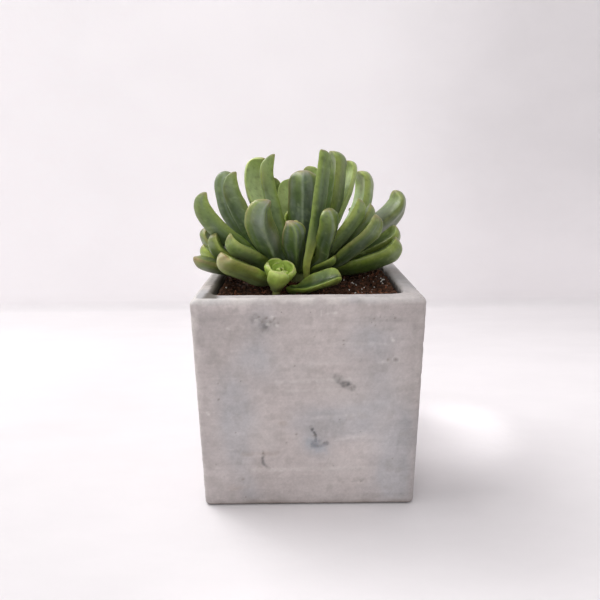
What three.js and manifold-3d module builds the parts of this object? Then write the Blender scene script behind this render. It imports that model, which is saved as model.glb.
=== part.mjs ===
// A square cast-concrete planter, about 100 mm on a side, with a rosette succulent growing in it.
// Millimetres, +Z up. The origin is the centre of the pot's underside; the front face looks
// along -Y.
//
// From the bottom up: the pot, a mesh disc over its drain hole, gravel, potting soil, the main
// stem with its taproot, its fleshy leaves, and a small offset rosette (a pup) with its own stem.
import * as THREE from "three";
import { mergeVertices } from "three/addons/utils/BufferGeometryUtils.js";
import Module from "manifold-3d";

const { clamp, degToRad, euclideanModulo, smoothstep } = THREE.MathUtils;
const wasm = await Module();
wasm.setup();

// ---- Driving dimensions ----
const GAP = 0.35; // clearance between separate pieces

const POT_TOP = 100; // outer width at the rim
const POT_BOTTOM = 98; // outer width at the foot, before its rounding
const POT_HEIGHT = 100;
const WALL = 8; // wall thickness at the rim
const FLOOR = 10; // floor thickness
const CORNER_R = 2.8; // rounding of the outer vertical edges
const RIM_R = 2.8; // rounding of the rim's outer edge
const RIM_INNER_R = 1.4; // easing of the rim's inner edge
const FOOT_R = 1.5; // rounding of the bottom edge
const CAVITY_BOTTOM = 79; // inner width at the floor
const CAVITY_CORNER_R = 6;
const DRAIN_R = 6;

const MESH_R = 12; // plastic mesh disc over the drain hole
const MESH_T = 0.8;
const MESH_SLOT = 1.6; // width of the square openings
const MESH_PITCH = 2 * MESH_SLOT;
const MESH_BOTTOM = FLOOR + GAP;

const GRAVEL_TOP = 21;
const SOIL_CLEAR = 0.6; // clearance of the soil to the pot wall
const SOIL_EDGE = 97; // soil level at the wall
const SOIL_TOP = 94.4; // level of the shallow dish inside that edge
const SOIL_DISH = 68; // width of the dish
const SOIL_CROWN = 95; // soil level around the stem
const SOIL_CROWN_WIDTH = 28;
const SOIL_DISH_CORNER_R = 8;

const STEM_X = -4; // the rosette grows slightly left of centre
const STEM_R = 4.2;
const STEM_TOP = 108.5;
const TAPROOT_TIP = 52;
const PUP_STEM_AT = [-14.4, -21.3, 96.2]; // middle of the pup's stem
const PUP_STEM_LEAN = 0.17; // radians towards +X

// ---- Materials ----
const material = (look) => new THREE.MeshStandardMaterial(look);
const CONCRETE = material({ color: 0xa8a4a1, roughness: 0.9 });
const PLASTIC = material({ color: 0x222322, roughness: 0.6 });
const GRAVEL = material({ color: 0x8c8378, roughness: 0.95 });
const SOIL = material({ color: 0x2a1d16, roughness: 1 });
const STEM = material({ color: 0x7f8a4e, roughness: 0.7 });
const LEAF = material({ color: 0x5f8152, roughness: 0.45 });
const YOUNG = material({ color: 0x86b03c, roughness: 0.45 });

// ---- Leaf tables ----
// Each row: the direction the leaf grows in (degrees in plan, 0 = +X, 90 = +Y), its width,
// its thickness, and the [x, y, z] points of its guide line from base to tip.
// Rows are in name order. A leaf is cut back by those before it.
const ROSETTE_LEAVES = [
  [222, 10.8, 8.2, [[-6.6, -2.3, 98], [-26, -4.9, 108.6], [-32.9, -7.4, 114.8], [-40.1, -9.6, 121],
    [-45.6, -11.5, 127.8], [-49, -12.8, 134], [-49.7, -13.7, 138.5], [-48.9, -14, 142]]],
  [214, 12.6, 8.2, [[-6.9, -2, 101], [-27.3, 1.4, 115.6], [-34.9, 4.5, 122.8], [-40, 7.4, 130.6],
    [-41.4, 9.7, 138.9], [-41.7, 11.5, 145], [-40.1, 12.6, 148.2], [-37.3, 13, 150.1]]],
  [220, 11.4, 8.2, [[-6.7, -2.2, 101], [-22.2, -1.1, 112.9], [-27.8, 0, 120], [-32.1, 1, 127.4],
    [-35.1, 1.9, 134.5], [-37.1, 2.5, 141], [-37.6, 2.9, 146.1], [-36.9, 3, 150.6]]],
  [125, 15.5, 9, [[-6, 2.9, 103], [-13.9, 7.1, 116.1], [-19, 11.2, 124.9], [-23.4, 14.8, 133.3],
    [-26.2, 17.8, 140.8], [-26.8, 20.1, 147.9], [-25.4, 21.5, 153.4], [-21.2, 22, 156.6]]],
  [232, 8.2, 5.8, [[-6.2, -2.8, 104], [-10.6, -1.7, 113.9], [-13.5, -0.7, 122.2], [-16.3, 0.2, 130.5],
    [-18.4, 1, 138.3], [-19.4, 1.5, 146.4], [-19.2, 1.9, 153], [-17.7, 2, 158.6]]],
  [-72, 13.6, 9.8, [[-5.5, -3.4, 101], [-14.8, -10, 109.4], [-17.3, -15, 116.1],
    [-19.3, -19.5, 122.9], [-20, -22.5, 129.7], [-19.4, -24, 134.9], [-17.4, -24, 138.5]]],
  [100, 12.5, 7.5, [[-4.6, 3.4, 104], [-6.2, 6.7, 114.5], [-7.7, 9.7, 121.8],
    [-8.6, 12.3, 129.8], [-8.8, 14.3, 136.8], [-8.2, 15.6, 142.3], [-6.6, 16, 145.8]]],
  [-90, 15.4, 9, [[-4, -3.5, 105], [-2.6, -2.9, 111.5], [-2.1, -2.4, 119.4], [-1.6, -1.9, 127.2],
    [-1.4, -1.5, 134.4], [-1.2, -1.2, 141.6], [-1.2, -1.1, 146.3], [-1.1, -1, 150.8]]],
  [75, 11, 7, [[-3.1, 3.4, 104], [-1.6, 6.6, 110.8], [1.1, 9.7, 123.3],
    [3.8, 12.3, 134.8], [4.4, 14.3, 143.2], [3.4, 15.6, 149.2], [1.7, 16, 152.2]]],
  [-14, 8.6, 6.2, [[0.4, -9.5, 98.6], [0.4, -12, 107.2], [2.1, -12.2, 114.5], [4.1, -12, 122.6],
    [5.8, -11.6, 131], [6.9, -11, 139.3], [7.8, -10.4, 147.5],
    [8.5, -9.8, 154.2], [8.9, -9.2, 160.1]]],
  [16, 12.5, 8.3, [[-0.6, 1, 104], [7, 1.6, 113.6], [10.5, 2.3, 122.1], [13.5, 2.9, 131],
    [15.2, 3.3, 139.7], [15.5, 3.7, 147.9], [15.5, 3.9, 154.1], [14.9, 4, 160]]],
  [28, 11.5, 7.2, [[-0.9, 1.6, 103], [10.2, 4.4, 116.2], [13.8, 7, 123.5], [17.5, 9.3, 131.1],
    [20.4, 11.3, 138.7], [22.2, 12.8, 146.1], [22.9, 13.7, 151.5], [22.2, 14, 155.4]]],
  [16, 12.2, 9.2, [[-0.6, 1, 102], [16.9, 5.6, 112.9], [22.9, 10.1, 118.9], [27.9, 14.1, 125.9],
    [30.5, 17.4, 133.6], [31.3, 19.9, 140.6], [31.2, 21.5, 146.2], [30.1, 22, 150.3]]],
  [45, 7, 5, [[-1.5, 2.5, 99], [15.6, 9.1, 110.8], [21.3, 15.1, 116.1],
    [25.7, 19.9, 122.4], [27, 22.9, 127.9], [24.8, 24, 131]]],
  [-20, 10, 7.2, [[-0.7, -1.2, 101], [11.7, -5, 112.2], [16.3, -8.6, 118.4],
    [19.9, -11.7, 124.1], [22.9, -14, 129.5], [24.9, -15.5, 134], [26.3, -16, 137.2]]],
  [-5, 11.5, 8.2, [[-0.5, -0.3, 101], [12.9, -1.3, 109], [18.8, -2.2, 114.9],
    [24, -2.9, 120.7], [28.3, -3.5, 126.1], [31.6, -3.9, 130.7], [33.4, -4, 133.3]]],
  [-25, 10, 7.4, [[-0.8, -1.5, 99], [15.1, -6, 106.8], [20.6, -10.2, 112.1],
    [25.6, -13.9, 117.3], [29.8, -16.7, 122.3], [32.6, -18.4, 126.9], [33.8, -19, 130.3]]],
  [20, 15, 12.4, [[-0.7, 1.2, 100], [17.6, 6.9, 107.4], [26.4, 12.4, 111.7], [35.6, 17.3, 117.3],
    [43.6, 21.4, 123.1], [49.3, 24.4, 128.8], [51.5, 26.4, 134.3], [50.6, 27, 139.8]]],
  [8, 12.5, 9.4, [[-0.5, 0.5, 99], [22.9, 2.2, 105.7], [32.2, 3.7, 109.4],
    [39.9, 4.9, 113.8], [44.7, 5.7, 117.7], [47.7, 6, 121]]],
  [-8, 12.5, 9.4, [[-0.5, -0.5, 97.5], [20, -2.2, 102.7], [29.8, -3.7, 105.4],
    [38.2, -4.9, 109.4], [43.5, -5.7, 113.5], [46.3, -6, 116.7]]],
  [-78, 11.4, 8, [[-3.3, -3.4, 101], [-5.2, -7.9, 106.9], [-5.4, -12, 113.6],
    [-5.8, -15.2, 119.8], [-6.2, -17.3, 125], [-6.9, -18, 128.1]]],
  [-68, 9.8, 8, [[-2.7, -3.2, 101], [7.6, -8.4, 108.4], [9.6, -13.1, 116.5],
    [11.1, -16.8, 123.4], [11.3, -19.2, 129.2], [10.8, -20, 133.8]]],
  [-45, 10.2, 7.6, [[-9, -17, 96], [-6.2, -19, 95.8], [0, -22, 97.7],
    [6.4, -24.5, 100.3], [11.9, -26, 102.5], [15.8, -26, 103.7]]],
  [-20, 7, 4, [[-0.7, -1.2, 97], [4.2, -5.3, 102.8], [8.5, -8.8, 105.7],
    [12, -11.2, 108.3], [14.4, -12, 110]]],
  [-150, 11.5, 9.2, [[-7.5, -3.5, 99.5], [-21.1, -15, 100.4], [-28.5, -21, 105.1],
    [-34.5, -25.5, 109.2], [-38, -28.5, 112.1], [-39.1, -30, 114.2]]],
  [-162, 10.5, 8, [[-7.3, -1.1, 98], [-21.9, -7.5, 107], [-27.1, -13.4, 111.6],
    [-32.1, -18, 115.8], [-35.6, -21, 119.2], [-36.9, -22, 121.3]]],
  [182, 10, 7.6, [[-7.5, -0.1, 98], [-31.6, -4.4, 105], [-37.4, -8.3, 109.1],
    [-42.1, -11.3, 114.1], [-44.2, -13.3, 119.2], [-44.6, -14, 122.4]]],
  [165, 10, 7.5, [[-7.4, 0.9, 98], [-30.7, 2.2, 106.2], [-39.9, 3.3, 109.2],
    [-48, 4.2, 113.9], [-51.4, 4.8, 119.3], [-51.5, 5, 123]]],
  [178, 10, 7.5, [[-7.5, 0.1, 97], [-31.5, -1.5, 102.8], [-39.3, -2.9, 105.5],
    [-46.4, -4, 109], [-50.3, -4.7, 112.4], [-51.9, -5, 114.8]]],
  [186, 9.5, 7, [[-7.5, -0.4, 96.8], [-33.1, -5.8, 102], [-40.7, -10.7, 104.9],
    [-46.7, -14.6, 107.6], [-50.7, -17.1, 109.5], [-53, -18, 110.6]]],
  [57, 12, 8.5, [[-2.1, 2.9, 98], [4.6, 13.2, 99.5], [11.4, 23.7, 101.5],
    [17.1, 32.5, 103.8], [20.8, 38.3, 106.3], [22.1, 40.3, 109]]],
  [76, 12, 9, [[-3.2, 3.4, 98.5], [-0.2, 15.3, 100.4], [2.8, 27.5, 103.1],
    [5.4, 37.6, 106.2], [7, 44.3, 109.5], [7.6, 46.6, 113]]],
  [92, 12.5, 9, [[-4.1, 3.5, 100], [-4.5, 14.9, 103.2], [-4.9, 26.6, 107.6],
    [-5.3, 36.3, 112.7], [-5.5, 42.7, 118.2], [-5.6, 45, 124]]],
  [108, 12.5, 9, [[-5.1, 3.3, 98], [-8.9, 15.2, 100.1], [-12.9, 27.4, 103.1],
    [-16.2, 37.6, 106.4], [-18.4, 44.3, 110.1], [-19.1, 46.6, 114]]],
  [122, 12.5, 8.8, [[-5.9, 3, 100], [-12.2, 13.1, 103.2], [-18.7, 23.5, 107.6],
    [-24.1, 32.2, 112.7], [-27.7, 37.9, 118.2], [-28.9, 39.9, 124]]],
  [141, 12.5, 9, [[-6.7, 2.2, 98], [-16.9, 10.4, 100.4], [-27.3, 18.9, 103.7],
    [-36, 25.9, 107.5], [-41.7, 30.5, 111.6], [-43.6, 32.1, 116]]],
  [35, 12, 8.5, [[-1.1, 2, 97.5], [9.8, 9.7, 98.8], [21, 17.5, 100.5],
    [30.3, 24, 102.5], [36.5, 28.3, 104.7], [38.6, 29.8, 107]]],
  [84, 11.5, 7.5, [[-3.6, 3.5, 102.5], [-3, 9.9, 107.4], [-2.3, 16.5, 114.1],
    [-1.7, 22, 121.8], [-1.3, 25.6, 130.1], [-1.2, 26.9, 139]]],
  [116, 12.5, 8, [[-5.5, 3.1, 103], [-9.1, 10.4, 108.8], [-12.7, 17.9, 116.7],
    [-15.8, 24.1, 125.7], [-17.8, 28.2, 135.5], [-18.5, 29.7, 146]]],
];
const YOUNG_LEAVES = [
  [30, 8, 5, [[-2.6, 0.8, 106], [-1.1, 1.7, 108.9], [0.5, 2.6, 113],
    [1.8, 3.3, 117.6], [2.6, 3.8, 122.6], [2.9, 4, 128]]],
  [140, 8, 5, [[-5.2, 1, 106.5], [-6.4, 2, 109.8], [-7.5, 3, 114.3],
    [-8.5, 3.8, 119.4], [-9.1, 4.3, 125], [-9.4, 4.5, 131]]],
  [255, 7.5, 4.6, [[-4.4, -1.5, 106.5], [-4.7, -2.7, 109.2], [-5, -3.9, 113],
    [-5.3, -4.9, 117.3], [-5.5, -5.6, 122], [-5.6, -5.8, 127]]],
];
const PUP_LEAVES = [
  [-95, 9.6, 2.2, [[-14.7, -22.5, 96.3], [-14.4, -25.2, 98.3], [-13.8, -28, 101.3],
    [-13.1, -30.1, 104.5], [-12.5, -31.4, 107.3]]],
  [-8, 9, 2.3, [[-13.2, -22.1, 98.3], [-11.2, -22.9, 100.1], [-8.8, -23.9, 102.6],
    [-6.9, -24.8, 105.2], [-5.6, -25.5, 107.3]]],
  [48.1, 9, 2.3, [[-13.2, -21.7, 100.3], [-11.6, -20.8, 102.1], [-9.7, -19.9, 104.6],
    [-8.2, -19.6, 107.4], [-7.3, -19.6, 109.5]]],
  [119.9, 9, 2.3, [[-14.3, -21.6, 100.5], [-14.8, -20.6, 102.8], [-15.2, -19.5, 105.9],
    [-15.3, -19.1, 109.1], [-15.1, -19.1, 111.5]]],
  [-170.1, 9, 2.3, [[-15.2, -22.2, 98.7], [-16.2, -23.1, 101.4], [-17.3, -24.1, 104.7],
    [-17.9, -25, 107.6], [-18, -25.6, 109.9]]],
  [-56.9, 6.4, 2, [[-12.7, -24, 103.2], [-11.7, -25.4, 104], [-10.7, -26.7, 105.3],
    [-10.2, -27.3, 106.9]]],
  [123.1, 6.4, 2, [[-13.6, -22.5, 103.7], [-14, -21.8, 105.6], [-14.1, -21.4, 108],
    [-13.9, -21.6, 109.8]]],
];
// rings: sections along each leaf; digits: width of the number in its name
const LEAF_SETS = [
  { prefix: "leaf_", digits: 2, rows: ROSETTE_LEAVES, rings: 10, look: LEAF },
  { prefix: "young_leaf_", digits: 1, rows: YOUNG_LEAVES, rings: 7, look: YOUNG },
  { prefix: "pup_leaf_", digits: 1, rows: PUP_LEAVES, rings: 7, look: YOUNG },
];

// ---- Helpers: geometry to solid and back ----
function solid(geometry) {
  geometry.deleteAttribute("normal");
  geometry.deleteAttribute("uv");
  const merged = mergeVertices(geometry, 1e-4);
  return new wasm.Manifold(
    new wasm.Mesh({
      numProp: 3,
      vertProperties: new Float32Array(merged.attributes.position.array),
      triVerts: new Uint32Array(merged.index.array),
    }),
  );
}

function geometryOf(shape) {
  const { vertProperties, triVerts } = shape.getMesh();
  const geometry = new THREE.BufferGeometry();
  geometry.setAttribute("position", new THREE.BufferAttribute(new Float32Array(vertProperties), 3));
  geometry.setIndex(new THREE.BufferAttribute(new Uint32Array(triVerts), 1));
  geometry.computeVertexNormals();
  return geometry;
}

// An upright cylinder on the pot's axis
function cylinder(radius, height, middleZ, sides) {
  const geometry = new THREE.CylinderGeometry(radius, radius, height, sides);
  return solid(geometry.rotateX(Math.PI / 2).translate(0, 0, middleZ));
}

// A shape turned about +Z. Each row is [radius, height].
function turned(rows, sides) {
  const outline = rows.map(([radius, z]) => new THREE.Vector2(radius, z));
  return new THREE.LatheGeometry(outline, sides).rotateX(Math.PI / 2);
}

// A square prism with rounded corners. Each row is [half width, height, corner radius].
function squarePrism(rows) {
  const perCorner = 5;
  const sides = 4 * perCorner;
  const levels = rows.length - 1;
  const geometry = new THREE.CylinderGeometry(1, 1, 1, sides, levels);
  const position = geometry.getAttribute("position");
  for (let i = 0; i < position.count; i++) {
    const x = position.getX(i);
    const z = position.getZ(i);
    const [half, height, radius] = rows[Math.round((position.getY(i) + 0.5) * levels)];
    if (Math.hypot(x, z) < 0.5) {
      position.setXYZ(i, 0, 0, height); // centre of an end cap
      continue;
    }
    // CylinderGeometry turns from +Z towards +X, so -Z here keeps the faces pointing out
    const turn = Math.atan2(-z, x) / (2 * Math.PI);
    const step = euclideanModulo(Math.round(turn * sides), sides);
    const corner = Math.floor(step / perCorner);
    const angle = (Math.PI / 2) * (corner + (step % perCorner) / (perCorner - 1));
    const centreX = (corner === 0 || corner === 3 ? 1 : -1) * (half - radius);
    const centreY = (corner < 2 ? 1 : -1) * (half - radius);
    position.setXYZ(
      i,
      centreX + radius * Math.cos(angle),
      centreY + radius * Math.sin(angle),
      height,
    );
  }
  return solid(geometry);
}

// ---- Pot ----
const INNER_TOP_HALF = POT_TOP / 2 - WALL;
const outerHalf = (z) => (POT_BOTTOM + ((POT_TOP - POT_BOTTOM) * z) / POT_HEIGHT) / 2;
function innerHalf(z) {
  const bottomHalf = CAVITY_BOTTOM / 2;
  return bottomHalf + ((INNER_TOP_HALF - bottomHalf) * (z - FLOOR)) / (POT_HEIGHT - FLOOR);
}

function potBlock() {
  const footSteps = 2;
  const rimSteps = 3;
  const rows = [];
  for (let i = 0; i <= footSteps; i++) {
    const angle = (i / footSteps) * (Math.PI / 2);
    const z = FOOT_R * (1 - Math.cos(angle));
    rows.push([outerHalf(z) - FOOT_R * (1 - Math.sin(angle)), z, CORNER_R]);
  }
  for (let i = 0; i <= rimSteps; i++) {
    const angle = (i / rimSteps) * (Math.PI / 2);
    const z = POT_HEIGHT - RIM_R * (1 - Math.sin(angle));
    rows.push([outerHalf(z) - RIM_R * (1 - Math.cos(angle)), z, CORNER_R]);
  }
  return squarePrism(rows);
}

function potCavity() {
  const easeStart = POT_HEIGHT - RIM_INNER_R;
  const easeMiddle = RIM_INNER_R * 0.3;
  const mouthHalf = INNER_TOP_HALF + RIM_INNER_R;
  const mouthCornerR = CAVITY_CORNER_R + 1;
  return squarePrism([
    [innerHalf(FLOOR), FLOOR, CAVITY_CORNER_R],
    [innerHalf(easeStart), easeStart, CAVITY_CORNER_R],
    [INNER_TOP_HALF + easeMiddle, POT_HEIGHT - easeMiddle, CAVITY_CORNER_R],
    [mouthHalf, POT_HEIGHT, mouthCornerR],
    [mouthHalf, POT_HEIGHT + 5, mouthCornerR], // clears the rim
  ]);
}

function pot() {
  const drain = cylinder(DRAIN_R, 3 * FLOOR, FLOOR / 2, 20);
  return potBlock().subtract(potCavity()).subtract(drain);
}

// ---- Mesh disc: flat, with a 3 by 3 grid of square openings ----
function drainMesh() {
  const middleZ = MESH_BOTTOM + MESH_T / 2;
  let disc = cylinder(MESH_R, MESH_T, middleZ, 24);
  for (let i = -1; i <= 1; i++) {
    for (let j = -1; j <= 1; j++) {
      const opening = new THREE.BoxGeometry(MESH_SLOT, MESH_SLOT, 5 * MESH_T);
      opening.translate(i * MESH_PITCH, j * MESH_PITCH, middleZ);
      disc = disc.subtract(solid(opening));
    }
  }
  return disc;
}

// ---- Gravel layer, hollowed underneath to clear the mesh disc ----
function gravel() {
  const row = (z) => [innerHalf(z) - GAP, z, CAVITY_CORNER_R - GAP];
  const hollow = cylinder(MESH_R + GAP, 2 * (MESH_T + 2 * GAP), MESH_BOTTOM, 24);
  return squarePrism([row(MESH_BOTTOM), row(GRAVEL_TOP)]).subtract(hollow);
}

// ---- Stems. "grow" enlarges a shape to make the clearance around it. ----
function mainStem(grow = 0) {
  const rows = [
    [0, TAPROOT_TIP - grow],
    [1.2 + grow, TAPROOT_TIP + 4],
    [2.6 + grow, 72],
    [STEM_R + 0.4 + grow, 90],
    [STEM_R + grow, 97],
    [STEM_R - 0.6 + grow, 103],
    [2.2 + grow, STEM_TOP - 1.2],
    [0, STEM_TOP + grow],
  ];
  return solid(turned(rows, 12).translate(STEM_X, 0, 0));
}

function pupStem(grow = 0) {
  const rows = [
    [0, -9 - grow],
    [1 + grow, -7],
    [1.9 + grow, 0],
    [1.7 + grow, 5],
    [1.1 + grow, 8],
    [0, 9 + grow],
  ];
  return solid(turned(rows, 10).rotateY(PUP_STEM_LEAN).translate(...PUP_STEM_AT));
}

// ---- Potting soil: a tapered block, dished on top and rising slightly to the stem ----
function soilBlock(grow = 0) {
  const bottom = GRAVEL_TOP + GAP - grow;
  const cornerR = CAVITY_CORNER_R - SOIL_CLEAR;
  return squarePrism([
    [innerHalf(bottom) - SOIL_CLEAR, bottom, cornerR],
    [innerHalf(SOIL_EDGE) - SOIL_CLEAR, SOIL_EDGE + grow, cornerR],
    [SOIL_DISH / 2, SOIL_TOP + grow, SOIL_DISH_CORNER_R],
    [SOIL_CROWN_WIDTH / 2, SOIL_CROWN + grow, SOIL_DISH_CORNER_R],
  ]);
}

// ---- Leaf: a fleshy blade, nearly flat on its inner face and keeled on its outer face ----
const LEAF_SIDES = 8; // points around a leaf
const RING_CROWDING = 1.15; // above 1 draws the rings towards the tip
const BASE_END = 0.03; // share of the length over which the base opens out
const END_POWER = 2.15; // superellipse power of the blunt tip
const TIP_SHIFT = 0.9 * 0.59; // inward shift of the tip, per thickness
const BOW = 0.32; // outward bow of the outer half, as a share of that shift
const INNER_BULGE = 0.16; // these four are shares of the thickness
const OUTER_DEPTH = 0.86;
const SECTION_SHIFT = 0.42; // whole section, towards the inner face
const KEEL = 0.26; // share of the outer depth that forms the keel

// A blunt, rounded end that begins this share of the length before the tip
function roundEnd(along, share) {
  const into = clamp((along - 1 + share) / share, 0, 1);
  return Math.pow(1 - Math.pow(into, END_POWER), 1 / END_POWER);
}

function leafSolid([degrees, width, thick, points], rings, grow = 0) {
  const line = points.map((point) => new THREE.Vector3(...point));
  const curve = new THREE.CatmullRomCurve3(line, false, "catmullrom", 0.5);
  const length = curve.getLength();
  const angle = degToRad(degrees);
  const outward = new THREE.Vector3(Math.cos(angle), Math.sin(angle), 0);
  const geometry = new THREE.SphereGeometry(1, LEAF_SIDES, rings);
  const position = geometry.getAttribute("position");
  for (let i = 0; i < position.count; i++) {
    const x = position.getX(i);
    const z = position.getZ(i);
    const latitude = Math.acos(-position.getY(i)) / Math.PI; // 0 at the base, 1 at the tip
    const along = 1 - Math.pow(1 - latitude, RING_CROWDING);
    const point = curve.getPointAt(along);
    const tangent = curve.getTangentAt(along);
    const inward = outward.clone().multiplyScalar(-tangent.z);
    inward.z = tangent.dot(outward);
    inward.normalize();
    const across = new THREE.Vector3().crossVectors(tangent, inward);

    const base = Math.sqrt(Math.min(1, along / BASE_END));
    const widthEnd = roundEnd(along, (0.75 * width) / length);
    const thickEnd = roundEnd(along, (1.25 * thick) / length);
    const halfWidth = (width / 2) * (0.42 + 0.58 * smoothstep(along, 0, 0.62)) * widthEnd * base;
    const depth = thick * (0.5 + 0.5 * smoothstep(along, 0, 0.55)) * thickEnd * base;
    const bow = BOW * smoothstep(along, 0.55, 1);
    point.addScaledVector(inward, TIP_SHIFT * thick * (1 - thickEnd - bow));

    if (Math.hypot(x, z) < 1e-6) {
      point.addScaledVector(tangent, latitude < 0.5 ? -grow : grow); // either end point
    } else {
      const around = Math.atan2(z, x);
      const side = Math.cos(around);
      const face = Math.sin(around); // positive on the inner face
      const keeled = (1 - KEEL) * face - KEEL * (1 - Math.abs(side));
      const rise = face >= 0 ? INNER_BULGE * depth * face : OUTER_DEPTH * depth * keeled;
      point.addScaledVector(across, (halfWidth + grow) * side);
      point.addScaledVector(inward, rise + SECTION_SHIFT * depth + grow * face);
      if (latitude > 0.9) point.addScaledVector(tangent, grow);
    }
    position.setXYZ(i, point.x, point.y, point.z);
  }
  return solid(geometry);
}

// ---- Assembly ----
const root = new THREE.Group();
function add(name, shape, look) {
  const mesh = new THREE.Mesh(geometryOf(shape), look);
  mesh.name = name;
  root.add(mesh);
}

add("concrete_pot", pot(), CONCRETE);
add("drain_mesh", drainMesh(), PLASTIC);
add("drainage_gravel", gravel(), GRAVEL);
add("potting_soil", soilBlock().subtract(mainStem(GAP)).subtract(pupStem(GAP)), SOIL);
add("main_stem", mainStem(), STEM);
add("pup_stem", pupStem(), STEM);

// Each leaf is cut back where the soil, a stem or an earlier leaf already is
const withBox = (shape) => ({ shape, box: shape.boundingBox() });
const apart = (a, b) => [0, 1, 2].some((k) => a.min[k] > b.max[k] || b.min[k] > a.max[k]);
const taken = [soilBlock(GAP), mainStem(GAP), pupStem(GAP)].map(withBox);
for (const { prefix, digits, rows, rings, look } of LEAF_SETS) {
  rows.forEach((row, index) => {
    let { shape, box } = withBox(leafSolid(row, rings));
    for (const other of taken) {
      if (!apart(box, other.box)) shape = shape.subtract(other.shape);
    }
    // Cutting can leave loose scraps: keep the largest piece
    const [largest] = shape.decompose().sort((a, b) => b.volume() - a.volume());
    taken.push(withBox(leafSolid(row, rings, GAP)));
    add(prefix + String(index + 1).padStart(digits, "0"), largest, look);
  });
}

export default root;
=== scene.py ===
# A square cast-concrete planter with a rosette succulent and its small side rosette, the "pup".
# Z is up. The pot stands on z = 0, centred on x = y = 0, and its front faces -Y.
# The product is in mm and becomes metres in mesh_object; the stage, lamps and camera are in metres.
import math

import bmesh
import bpy
import numpy as np
from mathutils import Matrix, Vector

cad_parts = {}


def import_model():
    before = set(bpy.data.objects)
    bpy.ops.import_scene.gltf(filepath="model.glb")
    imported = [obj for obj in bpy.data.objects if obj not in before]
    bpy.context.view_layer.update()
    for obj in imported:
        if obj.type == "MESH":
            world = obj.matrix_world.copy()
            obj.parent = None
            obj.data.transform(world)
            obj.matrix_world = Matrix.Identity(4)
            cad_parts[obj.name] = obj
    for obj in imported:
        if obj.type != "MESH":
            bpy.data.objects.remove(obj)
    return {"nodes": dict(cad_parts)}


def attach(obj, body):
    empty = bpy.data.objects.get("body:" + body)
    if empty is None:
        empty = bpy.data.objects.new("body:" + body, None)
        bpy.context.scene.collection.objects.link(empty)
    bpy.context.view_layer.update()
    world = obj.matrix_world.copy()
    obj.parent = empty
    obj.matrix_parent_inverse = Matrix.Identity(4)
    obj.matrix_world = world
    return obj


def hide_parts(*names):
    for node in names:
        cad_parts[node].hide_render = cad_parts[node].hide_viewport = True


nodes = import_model()["nodes"]
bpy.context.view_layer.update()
DETAIL = 1.0  # share of the full ring and row counts
MM = 0.001


# ---------------------------------------------------------------- numbers, colour and noise
def rgb(*levels):
    """Linear colour from sRGB levels of 0 to 255."""
    c = np.array(levels, float) / 255.0
    return np.where(c <= 0.04045, c / 12.92, ((c + 0.055) / 1.055) ** 2.4)


def smooth(x):
    """Eased step from 0 to 1."""
    x = np.clip(x, 0, 1)
    return x * x * (3 - 2 * x)


def bell(x):
    return np.exp(-(x**2))


def mix(start, end, share):
    share = np.clip(share, 0, 1)
    if np.ndim(share):
        share = share[:, None]
    return start * (1 - share) + end * share


def layered(base, *layers):
    """base with each (colour, amount) laid over it in turn."""
    for colour, amount in layers:
        base = mix(base, colour, amount)
    return base


def cell_hash(cell, seed):
    """A number from -1 to 1 for each whole-number cell."""
    mask = np.uint64(0xFFFFFFFF)
    x, y, z = cell.astype(np.uint64).T
    bits = (
        (x * np.uint64(374761393))
        ^ (y * np.uint64(668265263))
        ^ (z * np.uint64(2246822519))
        ^ np.uint64((seed * 3266489917 + 12345) & 0xFFFFFFFF)
    ) & mask
    bits = ((bits ^ (bits >> np.uint64(15))) * np.uint64(2246822519)) & mask
    bits = ((bits ^ (bits >> np.uint64(13))) * np.uint64(3266489917)) & mask
    bits = bits ^ (bits >> np.uint64(16))
    return bits.astype(np.float64) / 4294967295.0 * 2 - 1


def noise(points, frequency, seed=0):
    """Smooth noise from -1 to 1, interpolated between the corners of a cubic lattice."""
    scaled = np.asarray(points, float) * frequency + 1000.0
    cell = np.floor(scaled)
    part = scaled - cell
    part = part * part * part * (part * (part * 6 - 15) + 10)
    cell = cell.astype(np.int64)
    total = 0.0
    for corner in np.ndindex(2, 2, 2):
        weight = np.prod(np.where(corner, part, 1 - part), axis=1)
        total = total + weight * cell_hash(cell + corner, seed)
    return total


def fractal(points, frequency, octaves=3, seed=0):
    """Octaves of noise, each twice as fine and half as strong as the last."""
    value, weight, total = 0.0, 1.0, 0.0
    for i in range(octaves):
        value = value + weight * noise(points, frequency * 2**i, seed + 17 * i)
        total += weight
        weight *= 0.5
    return value / total


# ---------------------------------------------------------------- mesh building
def add_colours(mesh, name, colours):
    layer = mesh.color_attributes.new(name, "FLOAT_COLOR", "POINT")
    rgba = np.c_[np.clip(colours, 0, 1), np.ones(len(colours))]
    layer.data.foreach_set("color", rgba.astype(np.float32).ravel())


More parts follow.
